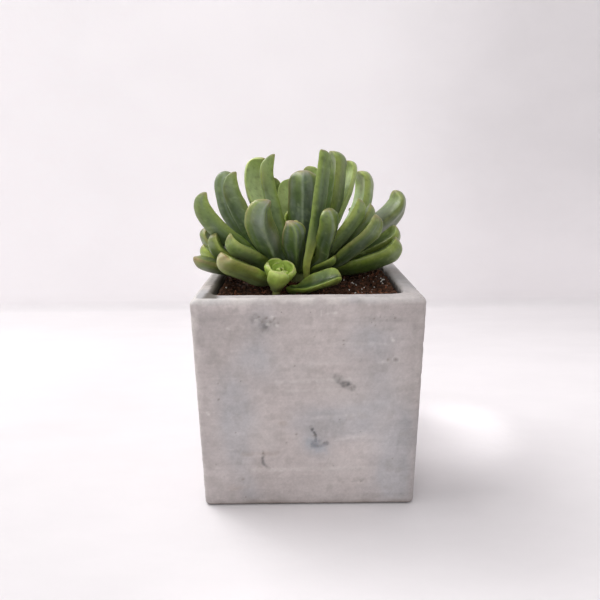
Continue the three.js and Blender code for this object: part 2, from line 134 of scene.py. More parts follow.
def mesh_object(name, verts, face_sets, material, body=None,
                smooth_shade=True, colours=None, values=None):
    """verts in mm; face_sets: arrays of faces with the same corner count within each array."""
    mesh = bpy.data.meshes.new(name)
    places = np.asarray(verts, np.float32) * MM
    face_sets = [np.asarray(faces, np.int32) for faces in face_sets]
    loops = np.concatenate([faces.ravel() for faces in face_sets])
    sizes = np.concatenate([np.full(len(faces), faces.shape[1], np.int32) for faces in face_sets])
    mesh.vertices.add(len(places))
    mesh.vertices.foreach_set("co", places.ravel())
    mesh.loops.add(len(loops))
    mesh.loops.foreach_set("vertex_index", loops)
    mesh.polygons.add(len(sizes))
    mesh.polygons.foreach_set("loop_start", np.r_[0, np.cumsum(sizes)[:-1]].astype(np.int32))
    mesh.polygons.foreach_set("use_smooth", np.full(len(sizes), smooth_shade))
    mesh.update(calc_edges=True)
    mesh.validate()
    if colours is not None:
        add_colours(mesh, "Col", colours)
    for key, numbers in (values or {}).items():
        layer = mesh.attributes.new(key, "FLOAT", "POINT")
        layer.data.foreach_set("value", np.asarray(numbers, np.float32))
    obj = bpy.data.objects.new(name, mesh)
    bpy.context.scene.collection.objects.link(obj)
    mesh.materials.append(material)
    if body:
        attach(obj, body)
    return obj


def grid_faces(rows, cols, wrap_cols=True, wrap_rows=False, flip=False):
    row, col = np.meshgrid(
        np.arange(rows if wrap_rows else rows - 1),
        np.arange(cols if wrap_cols else cols - 1),
        indexing="ij",
    )
    row2, col2 = (row + 1) % rows, (col + 1) % cols
    corners = [row * cols + col, row * cols + col2, row2 * cols + col2, row2 * cols + col]
    faces = np.stack(corners, -1).reshape(-1, 4)
    return faces[:, ::-1] if flip else faces


def grid_normals(grid, wrap_rows=False):
    """Unit normals, as a flat list, of a rows x cols x 3 grid that closes along its columns.
    They are on the side that grid_faces faces."""
    along_cols = np.roll(grid, -1, 1) - np.roll(grid, 1, 1)
    if wrap_rows:
        along_rows = np.roll(grid, -1, 0) - np.roll(grid, 1, 0)
    else:
        along_rows = np.empty_like(grid)
        along_rows[1:-1] = grid[2:] - grid[:-2]
        along_rows[0], along_rows[-1] = grid[1] - grid[0], grid[-1] - grid[-2]
    normals = np.cross(along_cols, along_rows)
    length = np.linalg.norm(normals, axis=2, keepdims=True)
    return (normals / np.maximum(length, 1e-9)).reshape(-1, 3)


def close_ends(obj):
    """Closes the small rings at both ends of a tube and turns its faces outwards."""
    shell = bmesh.new()
    shell.from_mesh(obj.data)
    rims = [edge for edge in shell.edges if edge.is_boundary]
    bmesh.ops.holes_fill(shell, edges=rims, sides=0)
    bmesh.ops.recalc_face_normals(shell, faces=shell.faces)
    inside_out = shell.calc_volume(signed=True) < 0
    shell.to_mesh(obj.data)
    shell.free()
    if inside_out:
        obj.data.flip_normals()
    obj.data.polygons.foreach_set("use_smooth", np.ones(len(obj.data.polygons), bool))


# ---------------------------------------------------------------- node materials
class NodeMaterial:
    """A Principled material. An input may be a number, an rgb() colour or another node's output."""

    def __init__(self, name):
        self.material = bpy.data.materials.new(name)
        self.material.use_nodes = True
        self.tree = self.material.node_tree
        self.tree.nodes.clear()
        output = self.node("OutputMaterial")
        self.surface = self.node("BsdfPrincipled")
        self.feed(output.inputs[0], self.surface.outputs[0])
        self.position = self.node("TexCoord").outputs["Object"]

    def feed(self, socket, value):
        if isinstance(value, bpy.types.NodeSocket):
            self.tree.links.new(value, socket)
        elif isinstance(value, np.ndarray):
            socket.default_value = (*value, 1.0)
        else:
            socket.default_value = value

    def node(self, kind, inputs=None, **settings):
        node = self.tree.nodes.new("ShaderNode" + kind)
        for key, value in settings.items():
            setattr(node, key, value)
        for key, value in (inputs or {}).items():
            self.feed(node.inputs[key], value)
        return node

    def shade(self, **inputs):
        """Sets the surface's inputs, with _ for a space, and returns the material."""
        for key, value in inputs.items():
            self.feed(self.surface.inputs[key.replace("_", " ")], value)
        return self.material

    def attribute(self, name, kind="Fac"):
        return self.node("Attribute", attribute_name=name).outputs[kind]

    def noise(self, scale, detail=3, rough=0.55, stretch=None):
        position = self.position
        if stretch:
            position = self.node("Mapping", {0: position, "Scale": stretch}).outputs[0]
        inputs = {"Scale": scale, "Detail": detail, "Roughness": rough, "Vector": position}
        return self.node("TexNoise", inputs).outputs[0]

    def voronoi(self, scale):
        inputs = {"Scale": scale, "Vector": self.position}
        return self.node("TexVoronoi", inputs).outputs["Distance"]

    def ramp(self, value, low, high, start=0.0, end=1.0):
        """Eases from start to end as value goes from low to high."""
        inputs = {"From Min": low, "From Max": high, "To Min": start, "To Max": end}
        inputs["Value"] = value
        return self.node("MapRange", inputs, interpolation_type="SMOOTHSTEP").outputs[0]

    def math(self, operation, first, second):
        return self.node("Math", {0: first, 1: second}, operation=operation).outputs[0]

    def mix(self, share, start, end):
        return self.node("Mix", {0: share, 6: start, 7: end}, data_type="RGBA").outputs[2]

    def scale(self, colour, factor):
        inputs = {0: colour, "Scale": factor}
        return self.node("VectorMath", inputs, operation="SCALE").outputs[0]

    def bump(self, height, strength, distance, under=None):
        """distance in metres; under is a bump that this one adds to."""
        inputs = {"Strength": strength, "Distance": distance, "Height": height}
        if under is not None:
            inputs["Normal"] = under
        return self.node("Bump", inputs).outputs[0]


def concrete_material():
    mat = NodeMaterial("cast_concrete")
    fine = mat.noise(900, 4, 0.6)
    grain = mat.noise(2600, 2, 0.5)
    holes = mat.ramp(mat.voronoi(260), 0.03, 0.10, 1.0, 0.0)
    pinholes = mat.math("MULTIPLY", holes, mat.ramp(mat.noise(45, 2), 0.52, 0.66))
    shade = mat.math(
        "ADD", mat.ramp(fine, 0.25, 0.75, 0.945, 1.055), mat.ramp(grain, 0.2, 0.8, -0.035, 0.035)
    )
    colour = mat.scale(mat.attribute("Col", "Color"), shade)
    # painted shade in the pinholes: the colour darkens where the bump sinks them
    colour = mat.mix(mat.math("MULTIPLY", pinholes, 0.45), colour, rgb(112, 107, 104))
    bump = mat.bump(mat.noise(420, 5, 0.65), strength=0.35, distance=0.0004)
    bump = mat.bump(grain, strength=0.25, distance=0.00015, under=bump)
    sunk = mat.math("MULTIPLY", pinholes, -1.0)
    return mat.shade(
        Base_Color=colour,
        Roughness=mat.ramp(fine, 0.2, 0.8, 0.72, 0.9),
        Specular_IOR_Level=0.35,
        Normal=mat.bump(sunk, strength=0.6, distance=0.0005, under=bump),
    )


def leaf_material():
    mat = NodeMaterial("leaf_skin")
    blotch = mat.noise(320, 4, 0.6)
    fine = mat.noise(1500, 3, 0.6)
    shade = mat.math(
        "ADD", mat.ramp(blotch, 0.25, 0.75, 0.90, 1.10), mat.ramp(fine, 0.25, 0.75, -0.05, 0.05)
    )
    colour = mat.scale(mat.attribute("Col", "Color"), shade)
    # the waxy bloom: a thin pale film, broken up in places
    patchy = mat.ramp(mat.noise(210, 5, 0.65), 0.35, 0.62)
    wax = mat.math("MULTIPLY", mat.attribute("bloom"), patchy)
    colour = mat.mix(mat.math("MULTIPLY", wax, 0.28), colour, rgb(146, 158, 146))
    waxy_rough = mat.math("MULTIPLY", wax, 0.18)
    bump = mat.bump(mat.noise(700, 4, 0.6), strength=0.10, distance=0.00025)
    return mat.shade(
        Base_Color=colour,
        Roughness=mat.math("ADD", mat.ramp(blotch, 0.2, 0.8, 0.28, 0.40), waxy_rough),
        Subsurface_Weight=0.18,
        Subsurface_Scale=0.0022,
        Subsurface_Radius=(0.75, 1.0, 0.30),
        Specular_IOR_Level=0.5,
        Normal=mat.bump(mat.noise(2400, 2, 0.5), strength=0.10, distance=0.00008, under=bump),
    )


def soil_material():
    mat = NodeMaterial("potting_mix")
    clods = mat.noise(380, 5, 0.7)
    damp = mat.ramp(mat.noise(120, 3, 0.6), 0.45, 0.7, 0.0, 0.6)
    colour = mat.mix(mat.ramp(clods, 0.35, 0.7), rgb(32, 21, 16), rgb(104, 70, 53))
    colour = mat.mix(damp, colour, rgb(56, 37, 27))
    specks = mat.ramp(mat.voronoi(700), 0.0, 0.25, 0.35, 0.0)
    bump = mat.bump(clods, strength=0.8, distance=0.0009)
    return mat.shade(
        Base_Color=mat.mix(specks, colour, rgb(112, 78, 58)),
        Roughness=0.92,
        Specular_IOR_Level=0.25,
        Normal=mat.bump(mat.noise(1800, 3, 0.6), strength=0.6, distance=0.0003, under=bump),
    )


def grain_material(name, dark, light, rough, scale):
    """For small loose pieces; each has its own tint between dark and light."""
    mat = NodeMaterial(name)
    speckle = mat.noise(scale, 4, 0.65)
    tint = mat.math("MULTIPLY", mat.attribute("tint"), 0.6)
    share = mat.math("ADD", tint, mat.ramp(speckle, 0.3, 0.7, 0.0, 0.4))
    return mat.shade(
        Base_Color=mat.mix(share, dark, light),
        Roughness=rough,
        Specular_IOR_Level=0.3,
        Normal=mat.bump(speckle, strength=0.5, distance=0.0003),
    )


def stem_material():
    mat = NodeMaterial("stem_skin")
    blotch = mat.noise(300, 5, 0.65)
    brown = rgb(92, 80, 52)
    colour = mat.mix(mat.ramp(blotch, 0.35, 0.65), mat.attribute("Col", "Color"), brown)
    return mat.shade(
        Base_Color=mat.mix(0.55, colour, mat.attribute("Col", "Color")),
        Roughness=0.6,
        Subsurface_Weight=0.08,
        Subsurface_Scale=0.001,
        Normal=mat.bump(blotch, strength=0.5, distance=0.0005),
    )


def plastic_material():
    mat = NodeMaterial("mesh_plastic_moulded")
    grain = mat.noise(1400, 3, 0.6)
    return mat.shade(
        Base_Color=mat.mix(mat.ramp(grain, 0.3, 0.7), rgb(20, 21, 20), rgb(34, 36, 34)),
        Roughness=mat.ramp(grain, 0.3, 0.7, 0.4, 0.55),
        Normal=mat.bump(grain, strength=0.15, distance=0.0001),
    )


CONCRETE = concrete_material()
LEAF = leaf_material()
SOIL = soil_material()
PERLITE, BARK, CRUMB, ROOT, PEBBLE = (
    grain_material(name, rgb(*dark), rgb(*light), rough, scale)
    for name, dark, light, rough, scale in (
        ("perlite", (196, 190, 182), (246, 244, 240), 0.85, 1500),
        ("bark_fibre", (60, 35, 25), (156, 98, 70), 0.9, 900),
        ("soil_crumb", (28, 18, 13), (100, 66, 47), 0.92, 700),
        ("fine_root", (150, 120, 86), (214, 192, 158), 0.7, 900),
        ("pebble", (98, 90, 82), (190, 180, 168), 0.75, 300),
    )
)
STEM = stem_material()
PLASTIC = plastic_material()


# ---------------------------------------------------------------- rounded square rings
def ring_layout(front, other, corner):
    """Perimeter positions, counter-clockwise from the +X side: corner or not, side, share along.
    front, other and corner are the counts on the -Y side, on each other side, on each corner."""
    places = []
    for side, count in enumerate((other, other, other, front)):  # +X, +Y, -X, -Y
        places += [(0, side, i / count) for i in range(count)]
        places += [(1, side, i / corner) for i in range(corner)]
    return np.array(places)


def ring_xy(layout, half, radius):
    is_corner, side, share = layout.T
    radius = max(radius, 1e-4)
    straight = half - radius
    turn = share * math.pi / 2
    x = np.where(is_corner == 0, half, straight + radius * np.cos(turn))
    y = np.where(
        is_corner == 0, -straight + 2 * straight * share, straight + radius * np.sin(turn)
    )
    angle = side * math.pi / 2
    return np.stack(
        [x * np.cos(angle) - y * np.sin(angle), x * np.sin(angle) + y * np.cos(angle)], 1
    )


def ring_grid(layout, rings):
    """rings: half width, corner radius, height, roundness (0 = square, 1 = circle)."""
    outline = ring_xy(layout, 49.0, 2.8)
    angle = np.arctan2(outline[:, 1], outline[:, 0])
    circle = np.stack([np.cos(angle), np.sin(angle)], 1)
    grid = np.zeros((len(rings), len(layout), 3))
    for i, (half, radius, z, roundness) in enumerate(rings):
        square = ring_xy(layout, half, radius)
        grid[i, :, :2] = square * (1 - roundness) + half * circle * roundness
        grid[i, :, 2] = z
    return grid


def on_wall(side, along, out):
    """x and y of a place on wall 0 to 3: +X, +Y, -X, -Y."""
    x = np.choose(side, [out, along, -out, along])
    return x, np.choose(side, [along, out, along, -out])


# ---------------------------------------------------------------- the cast pot
POT_TOP, POT_BOTTOM, POT_H = 100.0, 98.0, 100.0  # outer widths and height
FLOOR_Z, WALL = 10.0, 8.0
INNER_TOP, INNER_BOTTOM = POT_TOP / 2 - WALL, 39.5  # inner half widths
HOLE_R = 6.0
FOOT_R, RIM_R, LIP_R = 1.2, 2.8, 1.4  # roundings: bottom edge, outer rim edge, inner rim edge
CORNER_R, INNER_CORNER_R = 2.8, 6.0
RIM_CORNER_R, LIP_CORNER_R = 2.3, 7.2  # corners on either side of the flat rim top
PIT_DEPTH = 0.45

GREY, DARK, BLUE = rgb(138, 134, 132), rgb(96, 96, 98), rgb(160, 166, 176)
BROWN, WHITE = rgb(150, 128, 110), rgb(226, 222, 218)
# Marks on the front face: x, z from, x, z to, radius, strength, colour
MARKS = (
    (12.3, 64.7, 15.6, 61.6, 2.4, 0.9, GREY), (15.6, 61.6, 19.4, 59.2, 1.9, 0.85, GREY),
    (13.2, 62.4, 17, 60.8, 1.3, 0.7, DARK), (1.4, 39.4, 3.1, 36.4, 0.9, 0.85, DARK),
    (3.1, 36.4, 2.9, 33.4, 0.9, 0.85, DARK), (1.6, 31.4, 4.1, 31, 1.5, 0.75, DARK),
    (5.6, 31.2, 8.2, 32.4, 1.2, 0.7, DARK), (4.6, 33.6, 4.9, 33.2, 0.9, 0.6, GREY),
    (0.9, 41, 0.7, 40.3, 0.9, 0.5, GREY), (0.6, 33, 5.5, 29.4, 4, 0.45, BLUE),
    (-20.9, 28.4, -21.1, 22.4, 0.9, 0.6, GREY), (-21, 25, -20.6, 21.4, 0.8, 0.6, DARK),
    (-19.3, 20.5, -18.6, 19.6, 1.1, 0.6, GREY), (-22, 91, -16.5, 88.4, 3.4, 0.5, GREY),
    (-19.4, 86.6, -15.6, 88.6, 1.5, 0.45, GREY), (-20.5, 89, -18, 88, 1.4, 0.4, DARK),
    (-22, 90.8, -21.2, 90.4, 1, 0.6, WHITE), (-15.4, 92.4, -14.8, 92.2, 0.8, 0.6, WHITE),
    (-17.2, 89, -16.6, 88.8, 0.8, 0.5, WHITE), (-13.4, 88.6, -12.8, 88.2, 0.7, 0.5, WHITE),
    (37.4, 72.6, 37.8, 72.2, 1.3, 0.35, GREY), (35.3, 82.3, 36, 81.4, 1, 0.6, WHITE),
    (-34.2, 87.4, -33.6, 87, 0.9, 0.5, WHITE), (-45, 47.8, -44.4, 47.2, 0.9, 0.5, WHITE),
    (-12.2, 42.9, -10.6, 42.5, 1.5, 0.35, BROWN), (-33, 95.6, -30, 95.2, 1.4, 0.35, GREY),
    (26, 91, 38, 90.4, 1.6, 0.22, GREY), (30.5, 71.5, 34, 71.9, 1.3, 0.35, WHITE),
    (-38, 60, -41, 74, 5, 0.14, GREY), (20, 12, 26, 13.4, 0.7, 0.35, GREY),
    (40, 28, 41.5, 38, 1.2, 0.18, GREY), (-36, 9, -28, 10, 2, 0.2, BROWN),
    (8, 93.6, 12, 93.8, 0.7, 0.5, WHITE), (5.4, 94.6, 5.5, 92.4, 0.45, 0.4, WHITE),
    # strokes left by the trowel
    (-14, 62.5, 18, 63.5, 1.2, 0.24, WHITE), (-10, 58.2, 14, 59, 0.9, 0.2, WHITE),
    (-26, 18.6, 30, 19.6, 1.2, 0.22, WHITE), (2, 45, 22, 46.5, 1, 0.2, WHITE),
    (-30, 27, -14, 27.4, 1.4, 0.2, BROWN), (0, 71, 16, 72, 2, 0.15, WHITE),
    (10, 80.4, 34, 79.6, 0.9, 0.16, WHITE), (-6, 34.6, -1, 40, 1.2, 0.12, GREY),
    (12, 33.8, 26, 36, 0.8, 0.2, WHITE),
)
# Clouds on the front face: x, z, half width, half height, strength
COOL_CLOUDS = (
    (-20, 91, 6, 7, 0.6), (-22, 74, 9, 10, 1.1), (-32, 53, 7, 13, 1.25), (-32, 32, 7, 15, 1.15),
    (-28, 10, 5, 8, 0.7), (28, 81, 12, 8, 0.75), (32, 63, 8, 10, 0.9), (28, 46, 15, 9, 1.2),
    (38, 34, 10, 14, 1.15), (38, 13, 9, 12, 1.15), (8, 45, 12, 6, 1.1), (-3, 42, 8, 6, 0.6),
    (4, 32, 6, 7, 1.2), (16, 38, 8, 6, 0.8),
)
TONE_CLOUDS = (  # above 0 lighter, below 0 darker
    (24, 31, 16, 15, 0.085), (36, 12, 9, 8, 0.07), (-38, 95, 9, 6, -0.07), (41, 94, 9, 6, -0.09),
    (-16, 6, 13, 5, -0.03), (-17, 39, 6, 4, -0.05), (-34, 42, 8, 10, 0.03), (6, 70, 9, 8, 0.03),
    (-35, 69, 6, 5, -0.04), (-20, 23, 7, 4, -0.04), (-20, 15, 8, 4, -0.03),
    (-40, 90, 15, 9, -0.1), (-41, 74, 5, 10, -0.05), (6, 73, 8, 6, 0.04), (22, 41, 13, 11, 0.05),
    (16, 25, 10, 7, 0.05), (31, 45, 7, 8, 0.03), (-15, 12, 14, 6, -0.05), (15, 62, 4, 3, -0.05),
    (5, 33, 4, 5, -0.05), (0, 60, 12, 2, 0.03), (-30, 42, 7, 9, 0.03), (9, 88, 12, 5, 0.03),
    (46, 60, 6, 30, -0.03), (-15, 68, 8, 10, 0.015), (30, 62, 5, 4, 0.03),
    (-20, 16, 4, 6, -0.03), (44, 34, 4, 8, -0.05), (-17, 89, 5, 4, -0.03), (32, 12, 7, 4, -0.02),
    # the lighter entry at x -36, z 98.6 is painted highlight along the left of the rim's front edge
    (43, 91, 8, 8, -0.06), (-36, 98.6, 10, 2.6, 0.24), (38, 87, 9, 5, -0.04),
    (-40, 12, 8, 8, -0.035), (2, 10, 10, 6, 0.025),
)
# Air pits placed on the front face: x, z, radius, depth as a multiple of PIT_DEPTH
FRONT_PITS = (
    (14.9, 81.5, 0.7, 0.55), (14.9, 79.6, 0.7, 0.5), (16.3, 60.9, 1.1, 0.6),
    (13.4, 63.6, 0.9, 0.5), (18.6, 59.6, 0.8, 0.4), (2.6, 36.2, 0.9, 0.55), (1.5, 33, 0.9, 0.5),
    (3.9, 30.9, 0.8, 0.55), (6.8, 32.6, 0.7, 0.4), (-20.9, 27.2, 0.6, 0.4),
    (-21.1, 23.6, 0.6, 0.4), (-19.3, 20.3, 0.6, 0.4), (-17.6, 91.8, 0.8, 0.5),
    (-19.4, 90.2, 0.7, 0.45), (-16, 90, 0.9, 0.45), (-14.2, 91.4, 0.7, 0.4),
    (-20.6, 92.4, 0.6, 0.35), (-12.6, 89.6, 0.6, 0.35), (37.6, 72.6, 0.8, 0.3),
    (36.4, 91.2, 0.7, 0.35), (33, 90.4, 0.6, 0.35), (27.6, 91, 0.6, 0.35), (30.2, 92, 0.6, 0.3),
    (-39.4, 62, 0.6, 0.35), (-30.4, 14, 0.7, 0.4), (24, 12, 0.7, 0.4), (38, 24, 0.6, 0.35),
    (-6, 70, 0.5, 0.3),
)


def outer_half(z):
    return (POT_BOTTOM + (POT_TOP - POT_BOTTOM) * z / POT_H) / 2


def inner_half(z):
    return INNER_BOTTOM + (INNER_TOP - INNER_BOTTOM) * (z - FLOOR_Z) / (POT_H - FLOOR_Z)


def pot_rings():
    """From the drain hole outwards, up the outside, over the rim and down inside to the hole."""
    rings = [(HOLE_R, 0, 0.5, 1), (HOLE_R + 0.5, 0, 0, 1)]
    for half, roundness in ((9, 0.9), (14, 0.6), (21, 0.3), (29, 0.1), (37, 0), (43, 0), (46.4, 0)):
        rings.append((half, CORNER_R, 0, roundness))
    for i in range(5):
        turn = i / 4 * math.pi / 2
        z = FOOT_R * (1 - math.cos(turn))
        rings.append((outer_half(z) - FOOT_R * (1 - math.sin(turn)), CORNER_R, z, 0))
    for z in np.linspace(FOOT_R, POT_H - RIM_R, int(160 * DETAIL))[1:-1]:
        rings.append((outer_half(z), CORNER_R, z, 0))
    for i in range(8):
        turn = i / 7 * math.pi / 2
        z = POT_H - RIM_R * (1 - math.sin(turn))
        radius = CORNER_R - (CORNER_R - RIM_CORNER_R) * i / 7
        rings.append((outer_half(z) - RIM_R * (1 - math.cos(turn)), radius, z, 0))
    flat_out, flat_in = POT_TOP / 2 - RIM_R, INNER_TOP + LIP_R
    for i in range(1, 6):
        radius = RIM_CORNER_R + (LIP_CORNER_R - RIM_CORNER_R) * i / 6
        rings.append((flat_out + (flat_in - flat_out) * i / 6, radius, POT_H, 0))
    for i in range(6):
        turn = i / 5 * math.pi / 2
        z = POT_H - LIP_R * (1 - math.cos(turn))
        radius = LIP_CORNER_R - (LIP_CORNER_R - INNER_CORNER_R) * i / 5
        rings.append((inner_half(z) + LIP_R * (1 - math.sin(turn)), radius, z, 0))
    # the inner wall has closer rings near the top, where it can be seen
    for start, end, count in ((POT_H - LIP_R, 88, 12), (88, 11.5, 26)):
        for z in np.linspace(start, end, int(count * DETAIL) + 2)[1:]:
            rings.append((inner_half(z), INNER_CORNER_R, z, 0))
    rings.append((inner_half(10.6) - 0.3, INNER_CORNER_R, 10.6, 0))
    rings.append((39.2, INNER_CORNER_R, FLOOR_Z + 0.1, 0))
    for half, roundness in ((34, 0), (26, 0.1), (18, 0.4), (11, 0.9)):
        rings.append((half, INNER_CORNER_R, FLOOR_Z, roundness))
    for half, z in ((HOLE_R + 0.4, FLOOR_Z), (HOLE_R, FLOOR_Z - 0.4), (HOLE_R, 5)):
        rings.append((half, 0, z, 1))
    return rings


def air_pits(points):
    """Depth and coverage of the air pits at each point."""
    rng = np.random.default_rng(11)
    pits = [(x, -outer_half(z), z, radius, PIT_DEPTH * depth) for x, z, radius, depth in FRONT_PITS]
    for side in range(4):
        front = side == 3
        for _ in range(16 if front else 34):
            along, z = rng.uniform(-44, 44), rng.uniform(3, 96)
            radius = 0.35 + 0.75 * rng.random() ** 2.2
            if not front:
                radius *= 1.35
            x, y = on_wall(side, along, outer_half(z))
            pits.append((x, y, z, radius, PIT_DEPTH * radius + 0.1))
    for _ in range(34):  # on the rim's top
        a, b = rng.uniform(-46, 46), rng.uniform(43.4, 47.2)
        x, y = ((a, b), (a, -b), (b, a), (-b, a))[rng.integers(4)]
        pits.append((x, y, POT_H, 0.35 + 0.4 * rng.random(), 0.35))
    sunk, cover = np.zeros(len(points)), np.zeros(len(points))
    for x, y, z, radius, depth in pits:
        near = np.nonzero(np.abs(points[:, 2] - z) < radius * 1.3)[0]
        distance = np.linalg.norm(points[near] - [x, y, z], axis=1) / radius
        distance += 0.25 * noise(points[near], 1.1, 77)
        weight = smooth(1.25 * (1 - distance))
        sunk[near] += depth * weight
        cover[near] = np.maximum(cover[near], weight)
    return sunk, cover


def segment_distance(places, start, end):
    run = end - start
    share = np.clip(((places - start) @ run) / max(run @ run, 1e-9), 0, 1)
    return np.linalg.norm(places - start - share[:, None] * run, axis=1)


def pot_relief(points, outer, inside, edge):
    """Outward shift of each point: slow waves, roughness and chipped edges."""
    z = points[:, 2]
    shift = 0.10 * fractal(points, 0.035, 3, 3) + 0.05 * fractal(points, 0.30, 3, 5)
    shift += 0.035 * noise(points * [0.12, 0.12, 1.6], 1.0, 9)
    chip = np.maximum(fractal(points, 0.28, 3, 21) - 0.12, 0)
    shift -= edge * (0.10 + 0.45 * chip)
    shift += smooth((z - 98.4) / 1.0) * 0.10 * fractal(points, 0.16, 3, 31)
    sunk, pit_cover = air_pits(points)
    shift -= sunk
    shift = np.where(inside, np.clip(shift, -0.2, 0.25), shift)
    shift = np.where(outer & (z < 97), np.clip(shift, -0.9, 0.18), shift)
    return np.where(z < 0.6, np.minimum(shift, 0.0) * 0.2, shift), pit_cover


def pot_colours(points, outer, inside, edge, pit_cover):
    x, y, z = points.T
    front = smooth((-y - 46.5) / 2.0) * smooth((99.0 - z) / 2.0)
    warped_x = x + 3.0 * fractal(points, 0.06, 3, 45)
    warped_z = z + 3.0 * fractal(points, 0.06, 3, 46)

    def clouds(table):
        return sum(
            strength * np.exp(-(((warped_x - cx) / rx) ** 2 + ((warped_z - cz) / rz) ** 2))
            for cx, cz, rx, rz, strength in table
        )

    # pinkish grey and cool grey cement; the front's clouds are placed, the rest are noise
    drift = fractal(points * [1.0, 1.0, 0.85], 0.040, 4, 41)
    placed = np.clip(clouds(COOL_CLOUDS), 0, 1)
    cool = smooth(0.45 + 1.1 * drift) * (1 - front)
    cool += np.clip(placed * (1 + 0.5 * drift) + 0.25 * drift, 0, 1.05) * front
    colour = mix(rgb(192, 183, 181), rgb(179, 176, 178), cool)

    # level streaks, then blotches from coarse to fine
    tone = 1 + 0.036 * noise(points * [0.035, 0.035, 0.42], 1.0, 51)
    tone += 0.034 * noise(points * [0.10, 0.10, 1.1], 1.0, 52)
    tone += 0.075 * fractal(points, 0.07, 4, 53) + 0.095 * fractal(points, 0.40, 3, 54)
    tone += 0.06 * fractal(points, 1.1, 2, 55) + front * clouds(TONE_CLOUDS)
    # darker strips by the front's right and left edges, and a darker foot; the right strip is
    # painted shade, on the side away from the light
    right_shade_strip = smooth((x - 37.5) / 9) * front
    tone -= 0.13 * right_shade_strip * (0.8 + 0.6 * fractal(points, 0.08, 2, 57))
    tone -= 0.05 * smooth((-x - 41) / 6) * front
    low = smooth((11.0 - z + 2.5 * fractal(points, 0.07, 3, 56)) / 9.0) * outer
    tone -= 0.13 * low * (1 - 0.5 * smooth((x + 5) / 30) * front)
    # short trowel streaks
    streak = smooth((noise(points * [0.09, 0.09, 1.9], 1.0, 58) - 0.45) / 0.35)
    tone += 0.08 * streak * smooth((fractal(points, 0.05, 2, 59) + 0.05) / 0.4)

    colour = layered(
        colour * tone[:, None],
        # pale veil, darker mottle, and painted shade in the pits
        (rgb(206, 201, 199), 0.17 * smooth((fractal(points, 0.05, 4, 61) - 0.02) / 0.45)),
        (rgb(156, 149, 145), 0.24 * smooth((fractal(points, 0.22, 4, 63) - 0.16) / 0.3)),
        (rgb(142, 134, 128), 0.75 * pit_cover),
    )
    face = smooth((-y - 47.6) / 0.8)
    places = points[:, [0, 2]]
    wobble = 0.55 * fractal(points, 0.45, 3, 71)
    broken = np.clip(0.78 + 0.8 * fractal(points, 0.8, 2, 81), 0.2, 1.1)
    for x1, z1, x2, z2, radius, strength, paint in MARKS:
        distance = segment_distance(places, np.array([x1, z1]), np.array([x2, z2]))
        distance = distance + wobble * radius
        weight = smooth((1.15 * radius - distance) / (0.95 * radius)) * strength * face
        colour = mix(colour, paint, weight * broken)
    # a pale ring on the front, round the pit at its right
    from_ring = np.abs(np.linalg.norm(places - [37.6, 72.6], axis=1) - 1.55)
    colour = mix(colour, rgb(206, 201, 198), 0.45 * smooth(1 - from_ring / 0.45) * face)
    # lighter upper edges, worn, and on the left also painted highlight where the light falls; brown
    # dirt at the foot; painted contact shadow as a dark line along the bottom edge
    worn_and_lit_edge = edge * (z > 50) * smooth(0.55 + fractal(points, 0.2, 2, 91))
    near_wall = np.max(np.abs(points[:, :2]), axis=1) > 40
    dirt = smooth((3.2 - z - 1.6 * fractal(points, 0.12, 2, 95)) / 3.0) * near_wall
    colour = layered(
        colour,
        (rgb(226, 219, 214), 0.42 * worn_and_lit_edge * (1 - 0.6 * smooth((x - 5) / 40))),
        (rgb(128, 114, 102), 0.5 * dirt),
        (rgb(56, 50, 46), 0.85 * smooth((1.1 - z) / 0.9) * near_wall),
    )
    # damp inner wall; painted shade on the inner lip on the left, for the shaded inner wall under
    # the leaves; painted highlight on the front rim on the left, where the light falls
    damp = inside * smooth((99.3 - z + 1.4 * fractal(points, 0.30, 3, 99)) / 1.8)
    left_lip_shade = (~outer) * (z > 98.0) * (x < -38)
    left_lip_shade = left_lip_shade * smooth((x + 44.9 + 0.6 * fractal(points, 0.3, 3, 97)) / 1.5)
    left_rim_highlight = outer * smooth((z - 97.4) / 1.2) * smooth((-x - 16) / 14) * smooth((-y - 40) / 5)
    return layered(
        colour,
        (mix(colour * 0.5, rgb(66, 52, 43), 0.55), 0.9 * damp),
        (rgb(84, 76, 66), 0.85 * left_lip_shade),
        (rgb(236, 229, 224), 0.34 * left_rim_highlight),
    )


def build_pot():
    layout = ring_layout(front=int(190 * DETAIL), other=int(78 * DETAIL), corner=7)
    grid = ring_grid(layout, pot_rings())
    points = grid.reshape(-1, 3)
    x, y, z = points.T
    outer = np.max(np.abs(points[:, :2]), axis=1) > 47.3
    inside = (~outer) & (z < 99.0) & (z > 10.5)
    # how near each point is to an upright corner, the rim or the foot
    corner = smooth((np.minimum(np.abs(x), np.abs(y)) - 45.2) / 2.5) * outer
    edge = np.maximum(corner, smooth((z - 96.8) / 1.5) * outer)
    edge = np.maximum(edge, smooth((2.0 - z) / 1.5) * outer)
    shift, pit_cover = pot_relief(points, outer, inside, edge)
    verts = points + grid_normals(grid, wrap_rows=True) * shift[:, None]
    verts[:, 2] = np.clip(verts[:, 2], 0.0, POT_H + 0.15)
    colours = pot_colours(points, outer, inside, edge, pit_cover)
    faces = grid_faces(len(grid), len(layout), wrap_rows=True)
    obj = mesh_object("cast_pot", verts, [faces], CONCRETE, "pot", colours=colours)
    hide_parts("concrete_pot")


# ---------------------------------------------------------------- soil, loose grains, roots
SOIL_LEVEL = 94.6
SOIL_BOTTOM = 21.6
SOIL_CORNER_R = 5.4
# Perlite grains placed on the soil: x, y
PERLITE_XY = (
    (32.7, 9.9), (34.2, -4.5), (38.8, -4.6), (37.6, -8.6), (38.6, -14.8), (33.6, -15.3),
    (37.9, -0.6), (24.9, -4.6), (26.6, -15), (20.2, -17.7), (39.2, -11.2), (30.3, -20),
    (35.6, 3.5), (28.4, -9.5), (36.4, 15.5), (22.6, -23), (29.6, -13.2),
    (-38.6, -17), (-36.2, -20), (-30.5, -22),
)


